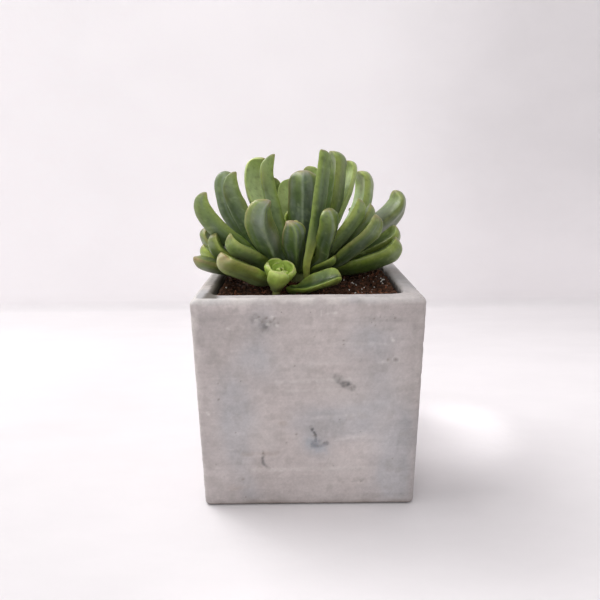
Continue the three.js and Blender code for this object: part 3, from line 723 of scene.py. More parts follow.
def soil_height(xy):
    points = np.c_[xy, np.zeros(len(xy))]
    height = 1.0 * fractal(points, 0.09, 3, 201) + 0.75 * fractal(points, 0.32, 3, 203)
    height += 0.4 * noise(points, 0.9, 205)
    from_stem = np.linalg.norm(xy - [-4, 0], axis=1)
    by_wall = smooth((np.max(np.abs(xy), axis=1) - 33.0) / 8.5)
    mound = 0.5 * smooth((24 - from_stem) / 20)
    return SOIL_LEVEL + height * (1 - 0.3 * by_wall) + mound + 3.2 * by_wall


def build_soil():
    side = int(62 * DETAIL)
    layout = ring_layout(front=side, other=side, corner=6)
    rings = [(0.15, 0.1, SOIL_LEVEL, 0)]
    for half in np.linspace(1.2, 40.6, int(40 * DETAIL)):
        radius = max(0.15 * half, min(SOIL_CORNER_R, half * 0.9))
        rings.append((half, radius, SOIL_LEVEL, 0))
    top = len(rings)
    for z, gap in ((95.6, 0.95), (94.4, 0.70)):
        rings.append((inner_half(z) - gap, SOIL_CORNER_R, z, 0))
    for z in np.linspace(93.0, 23.0, int(46 * DETAIL)):
        rings.append((inner_half(z) - 0.75, SOIL_CORNER_R, z, 0))
    wall_end = len(rings)
    rings.append((inner_half(22) - 1.6, 5.2, 21.9, 0))
    for half in (34, 27, 20, 13, 6, 0.2):
        rings.append((half, half * 0.4, SOIL_BOTTOM, 0))
    points = ring_grid(layout, rings).reshape(-1, 3)
    ring = np.repeat(np.arange(len(rings)), len(layout))
    height = soil_height(points[:, :2])
    points[:, 2] = np.where(ring < top, height, points[:, 2])
    # the top's unevenness fades out over the first two wall rings
    for i, share in ((top, 0.5), (top + 1, 0.2)):
        points[ring == i, 2] += (height[ring == i] - SOIL_LEVEL) * share
    lump = 0.55 * fractal(points, 0.13, 3, 211) + 0.45 * fractal(points, 0.5, 3, 213)
    lump = np.clip(lump, -0.9, 0.45) - 0.35
    reach = np.maximum(np.linalg.norm(points[:, :2], axis=1, keepdims=True), 1e-6)
    outward = np.c_[points[:, :2] / reach, np.zeros(len(points))]
    on_side = (ring >= top) & (ring < wall_end)
    points = points + outward * np.where(on_side, lump, 0)[:, None]
    faces = grid_faces(len(rings), len(layout), flip=True)
    obj = mesh_object("potting_mix_block", points, [faces], SOIL, "planting")
    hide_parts("potting_soil")


def icosphere(level):
    ball = bmesh.new()
    bmesh.ops.create_icosphere(ball, subdivisions=level, radius=1.0)
    verts = np.array([vert.co[:] for vert in ball.verts])
    faces = np.array([[vert.index for vert in face.verts] for face in ball.faces])
    ball.free()
    return verts, faces


def random_turn(rng):
    """Rotation matrix of a random unit quaternion."""
    quaternion = rng.normal(size=4)
    w, x, y, z = quaternion / np.linalg.norm(quaternion)
    return np.array([
        [1 - 2 * (y * y + z * z), 2 * (x * y - z * w), 2 * (x * z + y * w)],
        [2 * (x * y + z * w), 1 - 2 * (x * x + z * z), 2 * (y * z - x * w)],
        [2 * (x * z - y * w), 2 * (y * z + x * w), 1 - 2 * (x * x + y * y)],
    ])


def grains(name, places, sizes, stretch, level, material, body, seed, rough):
    """Many lumps in one object. sizes: radii; stretch: one x, y, z for all, or one for each;
    level: sphere subdivisions; rough: how uneven each lump is."""
    ball, faces = icosphere(level)
    rng = np.random.default_rng(seed)
    count = len(places)
    stretch = np.broadcast_to(np.asarray(stretch, float), (count, 3))
    verts = np.empty((count, len(ball), 3))
    for i in range(count):
        coarse = noise(ball, 1.3, seed * 1000 + i)[:, None]
        fine = noise(ball, 3.1, seed * 1000 + i)[:, None]
        lump = ball * (1 + rough * coarse + 0.5 * rough * fine)
        verts[i] = (lump * stretch[i] * sizes[i]) @ random_turn(rng).T + places[i]
    faces = (faces[None] + (np.arange(count) * len(ball))[:, None, None]).reshape(-1, 3)
    tint = {"tint": np.repeat(rng.random(count), len(ball))}
    return mesh_object(
        name, verts.reshape(-1, 3), [faces], material, body,
        smooth_shade=level > 1, values=tint,
    )


def build_crumbs(rng):
    count = 1900
    xy = rng.uniform(-40.3, 40.3, (count, 2))
    size = 0.45 + 0.95 * rng.random(count) ** 2.0
    z = soil_height(xy) + size * rng.uniform(-0.25, 0.5, count)
    keep = np.max(np.abs(xy), axis=1) + size < 41.1
    grains("soil_crumbs", np.c_[xy, z][keep], size[keep], (1, 0.85, 0.75), 1,
           CRUMB, "planting", seed=1, rough=0.45)


def build_bark(rng):
    count = 330
    length = 1.7
    xy = rng.uniform(-39.5, 39.5, (count, 2))
    size = 0.55 + 0.9 * rng.random(count) ** 1.5
    z = soil_height(xy) + 0.35 * size
    width, height = rng.uniform(0.45, 0.8, count), rng.uniform(0.25, 0.45, count)
    stretch = np.c_[np.full(count, length), width, height]
    keep = np.max(np.abs(xy), axis=1) + length * size < 41.0
    grains("bark_bits", np.c_[xy, z][keep], size[keep], stretch[keep], 1,
           BARK, "planting", seed=2, rough=0.35)


def build_perlite(rng):
    scattered = rng.uniform(-39, 39, (26, 2))
    right_side = np.c_[rng.uniform(18, 39.5, 22), rng.uniform(-24, 12, 22)]
    xy = np.r_[np.array(PERLITE_XY), scattered, right_side]
    placed = len(PERLITE_XY)
    size = np.r_[0.34 + 0.34 * rng.random(placed), 0.24 + 0.30 * rng.random(len(xy) - placed)]
    size[0] = 0.85
    z = soil_height(xy) + 0.45 * size
    grains("perlite_grains", np.c_[xy, z], size, (1, 0.9, 0.85), 2,
           PERLITE, "planting", seed=3, rough=0.28)
    # on the sides of the root ball, seen when it is lifted out
    count = 200
    along, z = rng.uniform(-37, 37, count), rng.uniform(25, 90, count)
    x, y = on_wall(rng.integers(0, 4, count), along, inner_half(z) - 1.5)
    grains("side_perlite", np.c_[x, y, z], 0.35 + 0.5 * rng.random(count), (1, 0.9, 0.85), 1,
           PERLITE, "planting", seed=4, rough=0.25)


def tube(path, radii, sides=6):
    """Vertices, side faces and end faces of a round tube along a path."""
    path = np.asarray(path, float)
    tangent = np.gradient(path, axis=0)
    tangent /= np.maximum(np.linalg.norm(tangent, axis=1, keepdims=True), 1e-9)
    across = np.cross(tangent, np.array([0.3, 0.2, 0.93]))
    across /= np.maximum(np.linalg.norm(across, axis=1, keepdims=True), 1e-9)
    third = np.cross(tangent, across)
    turn = np.linspace(0, 2 * np.pi, sides, endpoint=False)[None, :, None]
    around = across[:, None] * np.cos(turn) + third[:, None] * np.sin(turn)
    rings = path[:, None] + around * radii[:, None, None]
    count = len(path)
    verts = np.vstack([rings.reshape(-1, 3), path[:1], path[-1:]])
    i = np.arange(sides)
    after = (i + 1) % sides
    last = (count - 1) * sides
    start = np.stack([np.full(sides, count * sides), after, i], 1)
    end = np.stack([np.full(sides, count * sides + 1), last + i, last + after], 1)
    return verts, grid_faces(count, sides), np.vstack([start, end])


def build_roots():
    """Fine roots wandering down the sides of the root ball."""
    rng = np.random.default_rng(23)
    down, step, limit = -math.pi / 2, 1.7, 36.5
    verts, quads, triangles, tint = [], [], [], []
    base = 0
    for k in range(64):
        along, z = rng.uniform(-36, 36), rng.uniform(60, 91)
        heading = rng.normal(0, 0.35) + down
        path = []
        for _ in range(int(rng.uniform(16, 34))):
            heading += rng.normal(0, 0.22)
            heading += 0.08 * (down - heading)
            along += step * math.cos(heading)
            z += step * math.sin(heading)
            if abs(along) > limit:
                along = math.copysign(limit, along)
                heading = down
            if z < 24:
                break
            out = inner_half(z) - 1.02 + 0.10 * math.sin(len(path) * 0.9 + k)
            path.append((*on_wall(k % 4, along, out), z))
        if len(path) < 6:
            continue
        radii = np.linspace(0.34, 0.12, len(path)) * rng.uniform(0.7, 1.15)
        root_verts, root_quads, root_triangles = tube(path, radii)
        verts.append(root_verts)
        quads.append(root_quads + base)
        triangles.append(root_triangles + base)
        tint.append(np.full(len(root_verts), rng.random()))
        base += len(root_verts)
    faces = [np.vstack(quads), np.vstack(triangles)]
    mesh_object("fine_roots", np.vstack(verts), faces, ROOT, "planting",
                values={"tint": np.concatenate(tint)})


def build_gravel():
    """Three layers of pebbles on the pot's floor, kept clear of the mesh over the drain hole."""
    rng = np.random.default_rng(31)
    places, sizes = [], []
    pitch, jitter, offset = 5.0, 1.1, 1.2
    for layer, level in enumerate((12.6, 15.6, 18.6)):
        shift = (layer % 2) * offset
        for i in np.arange(-36, 37, pitch):
            for j in np.arange(-36, 37, pitch):
                x = i + rng.uniform(-jitter, jitter) + shift
                y = j + rng.uniform(-jitter, jitter) - shift
                size = rng.uniform(1.7, 2.6)
                if max(abs(x), abs(y)) + size > 38.8:
                    continue
                z = level + rng.uniform(-0.4, 0.4)
                if math.hypot(x, y) < 13.5 and z - size < 11.6:
                    z = 11.7 + size * 0.9
                places.append((x, y, min(z, 20.6 - 0.55 * size)))
                sizes.append(size)
    obj = grains("loose_pebbles", np.array(places), np.array(sizes), (1.15, 0.95, 0.75), 2,
                 PEBBLE, "pot", seed=6, rough=0.22)
    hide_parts("drainage_gravel")


# ---------------------------------------------------------------- stems
def round_grid(heights, radii, sides):
    turn = np.linspace(0, 2 * np.pi, sides, endpoint=False)
    x, y = radii[:, None] * np.cos(turn), radii[:, None] * np.sin(turn)
    return np.stack([x, y, np.broadcast_to(heights[:, None], x.shape)], -1)


def finish_stem(name, points, shape, low_colour, high_colour, fade):
    """fade: height over which the colour changes, from z = 93 up."""
    colours = mix(low_colour, high_colour, smooth((points[:, 2] - 93) / fade))
    obj = mesh_object(name + "_skin", points, [grid_faces(*shape)],
                      STEM, "planting", colours=colours)
    close_ends(obj)
    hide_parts(name)


def build_main_stem():
    heights = np.linspace(52.2, 108.2, 60)
    radii = np.interp(
        heights, [52, 56, 72, 90, 97, 103, 107, 108.4], [0.1, 1.2, 2.6, 4.6, 4.2, 3.6, 2.2, 0.1]
    )
    grid = round_grid(heights, radii, 24) + [-4.0, 0.0, 0.0]
    points = grid.reshape(-1, 3)
    z = points[:, 2]
    shift = 0.16 * fractal(points, 0.5, 3, 301) + 0.14 * np.sin(z * 2.4) * (z > 92)
    points = points + grid_normals(grid) * shift[:, None]
    finish_stem("main_stem", points, grid.shape[:2], rgb(150, 132, 96), rgb(136, 156, 84), 6)


def build_pup_stem():
    heights = np.linspace(-8.9, 8.9, 36)
    radii = np.interp(heights, [-9, -7, 0, 5, 8, 9], [0.1, 1.0, 1.9, 1.7, 1.1, 0.1])
    grid = round_grid(heights, radii, 18)
    x, y, z = grid.reshape(-1, 3).T
    cos, sin = math.cos(0.17), math.sin(0.17)  # leans towards +X
    points = np.c_[x * cos + z * sin - 14.4, y - 21.3, -x * sin + z * cos + 96.2]
    finish_stem("pup_stem", points, grid.shape[:2], rgb(150, 140, 96), rgb(176, 194, 104), 4)


# ---------------------------------------------------------------- leaves
MID, DEEP, LIME = rgb(94, 118, 60), rgb(52, 70, 34), rgb(166, 188, 72)
BLOOM, PALE, PINK = rgb(106, 120, 104), rgb(180, 196, 136), rgb(192, 152, 128)
TAN, BASE = rgb(140, 118, 78), rgb(120, 142, 60)

# Rosette leaves by number: compass angle, width, thickness, then x, y, z of each point of the
# middle line from base to tip
LEAVES = {
    1: (222, 10.8, 8.2, -6.6, -2.3, 98, -26, -4.9, 108.6, -32.9, -7.4, 114.8, -40.1, -9.6, 121,
        -45.6, -11.5, 127.8, -49, -12.8, 134, -49.7, -13.7, 138.5, -48.9, -14, 142),
    2: (214, 12.6, 8.2, -6.9, -2, 101, -27.3, 1.4, 115.6, -34.9, 4.5, 122.8, -40, 7.4, 130.6,
        -41.4, 9.7, 138.9, -41.7, 11.5, 145, -40.1, 12.6, 148.2, -37.3, 13, 150.1),
    3: (220, 11.4, 8.2, -6.7, -2.2, 101, -22.2, -1.1, 112.9, -27.8, 0, 120, -32.1, 1, 127.4,
        -35.1, 1.9, 134.5, -37.1, 2.5, 141, -37.6, 2.9, 146.1, -36.9, 3, 150.6),
    4: (125, 15.5, 9, -6, 2.9, 103, -13.9, 7.1, 116.1, -19, 11.2, 124.9, -23.4, 14.8, 133.3,
        -26.2, 17.8, 140.8, -26.8, 20.1, 147.9, -25.4, 21.5, 153.4, -21.2, 22, 156.6),
    5: (232, 8.2, 5.8, -6.2, -2.8, 104, -10.6, -1.7, 113.9, -13.5, -0.7, 122.2, -16.3, 0.2, 130.5,
        -18.4, 1, 138.3, -19.4, 1.5, 146.4, -19.2, 1.9, 153, -17.7, 2, 158.6),
    6: (-72, 13.6, 9.8, -5.5, -3.4, 101, -14.8, -10, 109.4, -17.3, -15, 116.1,
        -19.3, -19.5, 122.9, -20, -22.5, 129.7, -19.4, -24, 134.9, -17.4, -24, 138.5),
    7: (100, 12.5, 7.5, -4.6, 3.4, 104, -6.2, 6.7, 114.5, -7.7, 9.7, 121.8, -8.6, 12.3, 129.8,
        -8.8, 14.3, 136.8, -8.2, 15.6, 142.3, -6.6, 16, 145.8),
    8: (-90, 15.4, 9, -4, -3.5, 105, -2.6, -2.9, 111.5, -2.1, -2.4, 119.4, -1.6, -1.9, 127.2,
        -1.4, -1.5, 134.4, -1.2, -1.2, 141.6, -1.2, -1.1, 146.3, -1.1, -1, 150.8),
    9: (75, 11, 7, -3.1, 3.4, 104, -1.6, 6.6, 110.8, 1.1, 9.7, 123.3, 3.8, 12.3, 134.8,
        4.4, 14.3, 143.2, 3.4, 15.6, 149.2, 1.7, 16, 152.2),
    10: (-14, 8.6, 6.2, 0.4, -9.5, 98.6, 0.4, -12, 107.2, 2.1, -12.2, 114.5, 4.1, -12, 122.6,
         5.8, -11.6, 131, 6.9, -11, 139.3, 7.8, -10.4, 147.5, 8.5, -9.8, 154.2, 8.9, -9.2, 160.1),
    11: (16, 12.5, 8.3, -0.6, 1, 104, 7, 1.6, 113.6, 10.5, 2.3, 122.1, 13.5, 2.9, 131,
         15.2, 3.3, 139.7, 15.5, 3.7, 147.9, 15.5, 3.9, 154.1, 14.9, 4, 160),
    12: (28, 11.5, 7.2, -0.9, 1.6, 103, 10.2, 4.4, 116.2, 13.8, 7, 123.5, 17.5, 9.3, 131.1,
         20.4, 11.3, 138.7, 22.2, 12.8, 146.1, 22.9, 13.7, 151.5, 22.2, 14, 155.4),
    13: (16, 12.2, 9.2, -0.6, 1, 102, 16.9, 5.6, 112.9, 22.9, 10.1, 118.9, 27.9, 14.1, 125.9,
         30.5, 17.4, 133.6, 31.3, 19.9, 140.6, 31.2, 21.5, 146.2, 30.1, 22, 150.3),
    14: (45, 7, 5, -1.5, 2.5, 99, 15.6, 9.1, 110.8, 21.3, 15.1, 116.1, 25.7, 19.9, 122.4,
         27, 22.9, 127.9, 24.8, 24, 131),
    15: (-20, 10, 7.2, -0.7, -1.2, 101, 11.7, -5, 112.2, 16.3, -8.6, 118.4, 19.9, -11.7, 124.1,
         22.9, -14, 129.5, 24.9, -15.5, 134, 26.3, -16, 137.2),
    16: (-5, 11.5, 8.2, -0.5, -0.3, 101, 12.9, -1.3, 109, 18.8, -2.2, 114.9, 24, -2.9, 120.7,
         28.3, -3.5, 126.1, 31.6, -3.9, 130.7, 33.4, -4, 133.3),
    17: (-25, 10, 7.4, -0.8, -1.5, 99, 15.1, -6, 106.8, 20.6, -10.2, 112.1, 25.6, -13.9, 117.3,
         29.8, -16.7, 122.3, 32.6, -18.4, 126.9, 33.8, -19, 130.3),
    18: (20, 15, 12.4, -0.7, 1.2, 100, 17.6, 6.9, 107.4, 26.4, 12.4, 111.7, 35.6, 17.3, 117.3,
         43.6, 21.4, 123.1, 49.3, 24.4, 128.8, 51.5, 26.4, 134.3, 50.6, 27, 139.8),
    19: (8, 12.5, 9.4, -0.5, 0.5, 99, 22.9, 2.2, 105.7, 32.2, 3.7, 109.4, 39.9, 4.9, 113.8,
         44.7, 5.7, 117.7, 47.7, 6, 121),
    20: (-8, 12.5, 9.4, -0.5, -0.5, 97.5, 20, -2.2, 102.7, 29.8, -3.7, 105.4, 38.2, -4.9, 109.4,
         43.5, -5.7, 113.5, 46.3, -6, 116.7),
    21: (-78, 11.4, 8, -3.3, -3.4, 101, -5.2, -7.9, 106.9, -5.4, -12, 113.6, -5.8, -15.2, 119.8,
         -6.2, -17.3, 125, -6.9, -18, 128.1),
    22: (-68, 9.8, 8, -2.7, -3.2, 101, 7.6, -8.4, 108.4, 9.6, -13.1, 116.5, 11.1, -16.8, 123.4,
         11.3, -19.2, 129.2, 10.8, -20, 133.8),
    23: (-45, 10.2, 7.6, -9, -17, 96, -6.2, -19, 95.8, -0.0, -22, 97.7, 6.4, -24.5, 100.3,
         11.9, -26, 102.5, 15.8, -26, 103.7),
    24: (-20, 7, 4, -0.7, -1.2, 97, 4.2, -5.3, 102.8, 8.5, -8.8, 105.7, 12, -11.2, 108.3,
         14.4, -12, 110),
    25: (-150, 11.5, 9.2, -7.5, -3.5, 99.5, -21.1, -15, 100.4, -28.5, -21, 105.1,
         -34.5, -25.5, 109.2, -38, -28.5, 112.1, -39.1, -30, 114.2),
    26: (-162, 10.5, 8, -7.3, -1.1, 98, -21.9, -7.5, 107, -27.1, -13.4, 111.6,
         -32.1, -18, 115.8, -35.6, -21, 119.2, -36.9, -22, 121.3),
    27: (182, 10, 7.6, -7.5, -0.1, 98, -31.6, -4.4, 105, -37.4, -8.3, 109.1,
         -42.1, -11.3, 114.1, -44.2, -13.3, 119.2, -44.6, -14, 122.4),
    28: (165, 10, 7.5, -7.4, 0.9, 98, -30.7, 2.2, 106.2, -39.9, 3.3, 109.2, -48, 4.2, 113.9,
         -51.4, 4.8, 119.3, -51.5, 5, 123),
    29: (178, 10, 7.5, -7.5, 0.1, 97, -31.5, -1.5, 102.8, -39.3, -2.9, 105.5, -46.4, -4, 109,
         -50.3, -4.7, 112.4, -51.9, -5, 114.8),
    30: (186, 9.5, 7, -7.5, -0.4, 96.8, -33.1, -5.8, 102, -40.7, -10.7, 104.9,
         -46.7, -14.6, 107.6, -50.7, -17.1, 109.5, -53, -18, 110.6),
    31: (57, 12, 8.5, -2.1, 2.9, 98, 4.6, 13.2, 99.5, 11.4, 23.7, 101.5, 17.1, 32.5, 103.8,
         20.8, 38.3, 106.3, 22.1, 40.3, 109),
    32: (76, 12, 9, -3.2, 3.4, 98.5, -0.2, 15.3, 100.4, 2.8, 27.5, 103.1, 5.4, 37.6, 106.2,
         7, 44.3, 109.5, 7.6, 46.6, 113),
    33: (92, 12.5, 9, -4.1, 3.5, 100, -4.5, 14.9, 103.2, -4.9, 26.6, 107.6, -5.3, 36.3, 112.7,
         -5.5, 42.7, 118.2, -5.6, 45, 124),
    34: (108, 12.5, 9, -5.1, 3.3, 98, -8.9, 15.2, 100.1, -12.9, 27.4, 103.1, -16.2, 37.6, 106.4,
         -18.4, 44.3, 110.1, -19.1, 46.6, 114),
    35: (122, 12.5, 8.8, -5.9, 3, 100, -12.2, 13.1, 103.2, -18.7, 23.5, 107.6,
         -24.1, 32.2, 112.7, -27.7, 37.9, 118.2, -28.9, 39.9, 124),
    36: (141, 12.5, 9, -6.7, 2.2, 98, -16.9, 10.4, 100.4, -27.3, 18.9, 103.7, -36, 25.9, 107.5,
         -41.7, 30.5, 111.6, -43.6, 32.1, 116),
    37: (35, 12, 8.5, -1.1, 2, 97.5, 9.8, 9.7, 98.8, 21, 17.5, 100.5, 30.3, 24, 102.5,
         36.5, 28.3, 104.7, 38.6, 29.8, 107),
    38: (84, 11.5, 7.5, -3.6, 3.5, 102.5, -3, 9.9, 107.4, -2.3, 16.5, 114.1, -1.7, 22, 121.8,
         -1.3, 25.6, 130.1, -1.2, 26.9, 139),
    39: (116, 12.5, 8, -5.5, 3.1, 103, -9.1, 10.4, 108.8, -12.7, 17.9, 116.7, -15.8, 24.1, 125.7,
         -17.8, 28.2, 135.5, -18.5, 29.7, 146),
}
YOUNG_LEAVES = {
    1: (30, 8, 5, -2.6, 0.8, 106, -1.1, 1.7, 108.9, 0.5, 2.6, 113, 1.8, 3.3, 117.6,
        2.6, 3.8, 122.6, 2.9, 4, 128),
    2: (140, 8, 5, -5.2, 1, 106.5, -6.4, 2, 109.8, -7.5, 3, 114.3, -8.5, 3.8, 119.4,
        -9.1, 4.3, 125, -9.4, 4.5, 131),
    3: (255, 7.5, 4.6, -4.4, -1.5, 106.5, -4.7, -2.7, 109.2, -5, -3.9, 113, -5.3, -4.9, 117.3,
        -5.5, -5.6, 122, -5.6, -5.8, 127),
}
PUP_LEAVES = {
    1: (-95, 9.6, 2.2, -14.7, -22.5, 96.3, -14.4, -25.2, 98.3, -13.8, -28, 101.3,
        -13.1, -30.1, 104.5, -12.5, -31.4, 107.3),
    2: (-8, 9, 2.3, -13.2, -22.1, 98.3, -11.2, -22.9, 100.1, -8.8, -23.9, 102.6,
        -6.9, -24.8, 105.2, -5.6, -25.5, 107.3),
    3: (48.1, 9, 2.3, -13.2, -21.7, 100.3, -11.6, -20.8, 102.1, -9.7, -19.9, 104.6,
        -8.2, -19.6, 107.4, -7.3, -19.6, 109.5),
    4: (119.9, 9, 2.3, -14.3, -21.6, 100.5, -14.8, -20.6, 102.8, -15.2, -19.5, 105.9,
        -15.3, -19.1, 109.1, -15.1, -19.1, 111.5),
    5: (-170.1, 9, 2.3, -15.2, -22.2, 98.7, -16.2, -23.1, 101.4, -17.3, -24.1, 104.7,
        -17.9, -25, 107.6, -18, -25.6, 109.9),
    6: (-56.9, 6.4, 2, -12.7, -24, 103.2, -11.7, -25.4, 104, -10.7, -26.7, 105.3,
        -10.2, -27.3, 106.9),
    7: (123.1, 6.4, 2, -13.6, -22.5, 103.7, -14, -21.8, 105.6, -14.1, -21.4, 108,
        -13.9, -21.6, 109.8),
}
# Colouring by leaf number: tone (above 0 darker, below 0 paler), yellow, bloom, pink, then where
# given groove (painted shade: a dark strip down the channel of the inner face) and lit (how far
# the painted shade on the lower half is lifted). tone is partly each leaf's own green and partly
# painted light: paler for the leaves lit through from behind, darker for the shaded ones low
# down and on the right
LOOKS = {
    1: (0.05, 0.4, 0.45, 0.1, 0.4, 0.5), 2: (0.25, 0.35, 0.45, 0.15, 0.4, 0.4),
    3: (0.4, 0.45, 0.35, 0.1, 0.4, 0.2), 4: (-0.85, 0.35, 0.1, 0.25, 0.2, 0.8),
    5: (-0.3, 0.5, 0.15, 0.06, 0.4, 0.9), 6: (0.15, 0.6, 0.85, 0.5),
    7: (-1.5, 0.35, 0.05, 0.1, 0.1, 1), 8: (0.7, 0.3, 0.95, 0.45),
    9: (-1.15, 0.35, 0.1, 0.2, 0.2, 0.9), 10: (0.1, 0.6, 0.2, 0.03, 0.4, 1),
    11: (0.4, 0.5, 0.25, 0.06, 0.4, 0.3), 12: (-0.6, 0.4, 0.1, 0.15, 0.2, 1),
    13: (-0.35, 0.6, 0.15, 0.15, 0.3, 0.7), 14: (0.5, 0.5, 0.1, 0.2),
    15: (-0.3, 0.8, 0.3, 0.12, 0.4, 0.5), 16: (-0.1, 0.4, 0.5, 0.25), 17: (0.65, 0.5, 0.5, 0.3),
    18: (0.4, 0.45, 0.05, 0.15, 0.4, 0.3), 19: (0.95, 0.45, 0.15, 0.05),
    20: (1.15, 0.6, 0.1, 0.05), 21: (0.1, 0.55, 0.8, 0.8), 22: (0.65, 0.6, 0.6, 0.15),
    23: (-0.1, 0.9, 0.25, 0.1, 0.9, 0.8), 24: (0.1, 0.9, 0.1, 0.15),
    25: (-0.5, 1.3, 0.1, 0.6, 0.4, 0.6), 26: (-0.25, 0.65, 0.25, 0.15),
    27: (0.75, 0.8, 0.25, 0.15), 28: (1.25, 0.7, 0.1, 0.4), 29: (0.2, 1.1, 0.1, 0.1),
    30: (1.25, 0.6, 0.2, 0.6),
}
# Patches by leaf number: across (-1 to 1), along (0 to 1), their half sizes, colour, strength,
# on the inner face or not
PATCHES = {
    1: ((0.3, 0.88, 0.5, 0.1, (172, 182, 112), 0.7, False),),
    3: ((0.2, 0.84, 0.5, 0.08, (102, 100, 34), 0.7, False),
        (0.95, 0.6, 0.12, 0.25, (176, 172, 150), 0.7, False)),
    5: ((0, 0.82, 0.5, 0.1, (148, 152, 50), 0.55, False),),
    6: ((-0.55, 0.74, 0.3, 0.1, (104, 106, 34), 0.65, False),
        (-0.6, 0.54, 0.35, 0.12, (160, 160, 134), 0.6, False),
        (0.8, 0.86, 0.35, 0.1, (140, 140, 62), 0.3, False)),
    8: ((0.92, 0.78, 0.16, 0.16, (104, 96, 66), 0.75, False),
        (-0.9, 0.7, 0.14, 0.25, (128, 128, 84), 0.6, False)),
    # leaf 10: a pale yellow-green band at the base, painted light where the rosette shades it
    10: ((0, 0.14, 1.6, 0.16, (196, 204, 104), 0.85, True),
         (0, 0.14, 1.6, 0.16, (196, 204, 104), 0.85, False)),
    13: ((0, 0.86, 0.5, 0.1, (92, 96, 46), 0.5, True),
         (0.9, 0.6, 0.25, 0.3, (158, 176, 84), 0.6, True)),
    # leaf 18: a painted highlight near the top of its margin, and painted shade on its outer face
    # and on the flank away from the light
    18: ((0.85, 0.8, 0.12, 0.16, (170, 190, 80), 0.4, True),
         (0.6, 0.6, 2.2, 0.36, (58, 70, 40), 0.75, False),
         (1, 0.66, 0.42, 0.24, (56, 66, 40), 0.9, True)),
    # leaf 20: the second patch, dark low on the outer face, is painted shade
    20: ((0.6, 0.55, 0.5, 0.25, (118, 150, 52), 0.4, False),
         (0.6, 0.24, 1.2, 0.22, (48, 58, 30), 0.7, False)),
    25: ((0, 0.62, 0.5, 0.22, (146, 160, 46), 0.7, True),
         (0, 0.93, 0.8, 0.06, (190, 180, 150), 0.6, False)),
    26: ((-0.2, 0.72, 0.6, 0.14, (108, 102, 98), 0.75, False),),
    # leaves 28 and 30: painted shade on both faces, for they lie low under the others
    28: ((0, 0.5, 3, 0.6, (58, 64, 34), 0.6, False), (0, 0.5, 3, 0.6, (58, 64, 34), 0.6, True)),
    30: ((0, 0.45, 3, 0.5, (50, 56, 30), 0.55, False), (0, 0.45, 3, 0.5, (50, 56, 30), 0.55, True)),
}
# Shape settings by leaf number; see leaf_surface
SHAPES = {
    1: dict(tip=2.1, thin=2, point=0.45, lift=0.7, skew=-0.35, power=1.9),
    2: dict(tip=1.3, power=2.2, skew=-0.3),
    3: dict(tip=2.3, thin=2, lift=0.7, skew=-0.4, power=1.9),
    4: dict(tip=1.1, power=2.4, channel=1.8, point=0.3, skew=-0.5),
    5: dict(tip=2.2, thin=1.8, point=0.9, hood=0.4, lift=1, skew=-0.4, power=1.9),
    6: dict(tip=1.9, keel=0.66, point=0.4, power=1.95, skew=-0.7),
    7: dict(tip=1.2),
    8: dict(tip=1.05, power=2.5, keel=0.5, point=0.2),
    9: dict(hood=1.5),
    10: dict(tip=1, thin=0.8, power=2.8, point=0.1, keel=0.5, base=0.62, lift=0.6),
    11: dict(tip=1, thin=0.85, power=2.6, point=0.1, channel=1.8),
    12: dict(tip=1.1, thin=0.9, power=2.4, base=0.34, point=0.1),
    13: dict(tip=1, thin=1, power=2.4, base=0.34, point=0.1, channel=1.8),
    14: dict(point=0.2),
    15: dict(tip=1.3, point=0.3, keel=0.5),
    16: dict(tip=1.3, point=0.2),
    17: dict(tip=1.25, point=0.2, keel=0.45),
    18: dict(thin=1.9, point=0.3, channel=0.3, keel=0.5, lift=0.6, power=1.9),
    19: dict(tip=1.15, thin=0.9, point=0.1, power=2.3),
    20: dict(tip=1.15, thin=0.9, point=0.1, power=2.3),
    21: dict(tip=1.35, keel=0.6, point=0.4, power=2, skew=0.45),
    22: dict(tip=1.1, keel=0.55, point=0.2, power=2.3, base=0.46),
    23: dict(tip=1.9, thin=0.5, power=3, channel=3, twist=42, point=0, open_end=True, base=0.6,
             lift=0),
    24: dict(tip=1.8, point=0.2),
    25: dict(tip=1.15, thin=0.85, power=2.4, point=0.2, lift=0.45),
    26: dict(tip=1.4, point=0.8),
    27: dict(tip=1.2, point=0.2, keel=0.5, lift=0.55),
    28: dict(tip=1.4, lift=0.45),
    29: dict(tip=1.2, lift=0.45),
    30: dict(tip=2.2, point=1, lift=0.3),
}
PUP_SHAPE = dict(point=0.2, base=0.34, channel=1.2, keel=0.14, tip=0.8, thin=0.8, power=2.9,
                 bow=1, lift=0.3)


def resample(points, known, wanted):
    return np.stack([np.interp(wanted, known, points[:, k]) for k in range(3)], 1)


def spline(path, count):
    """Softened Catmull-Rom curve at evenly spaced places, and its length."""
    ends = np.vstack([2 * path[0] - path[1], path, 2 * path[-1] - path[-2]])
    t = np.linspace(0, 1, 24, endpoint=False)[:, None]
    pieces = []
    for i in range(len(path) - 1):
        a, b, c, d = ends[i : i + 4]
        bend = (2 * a - 5 * b + 4 * c - d) * t**2 + (3 * b - a - 3 * c + d) * t**3
        pieces.append(0.5 * (2 * b + (c - a) * t + bend))
    curve = np.vstack(pieces + [path[-1:]])
    for _ in range(12):
        curve[1:-1] = 0.25 * curve[:-2] + 0.5 * curve[1:-1] + 0.25 * curve[2:]
    travel = np.r_[0, np.cumsum(np.linalg.norm(np.diff(curve, axis=0), axis=1))]
    return resample(curve, travel, np.linspace(0, travel[-1], count)), travel[-1]


def round_end(along, share, power=2.15):
    end = np.clip((along - 1 + share) / share, 0, 1)
    return (1 - end**power) ** (1 / power)


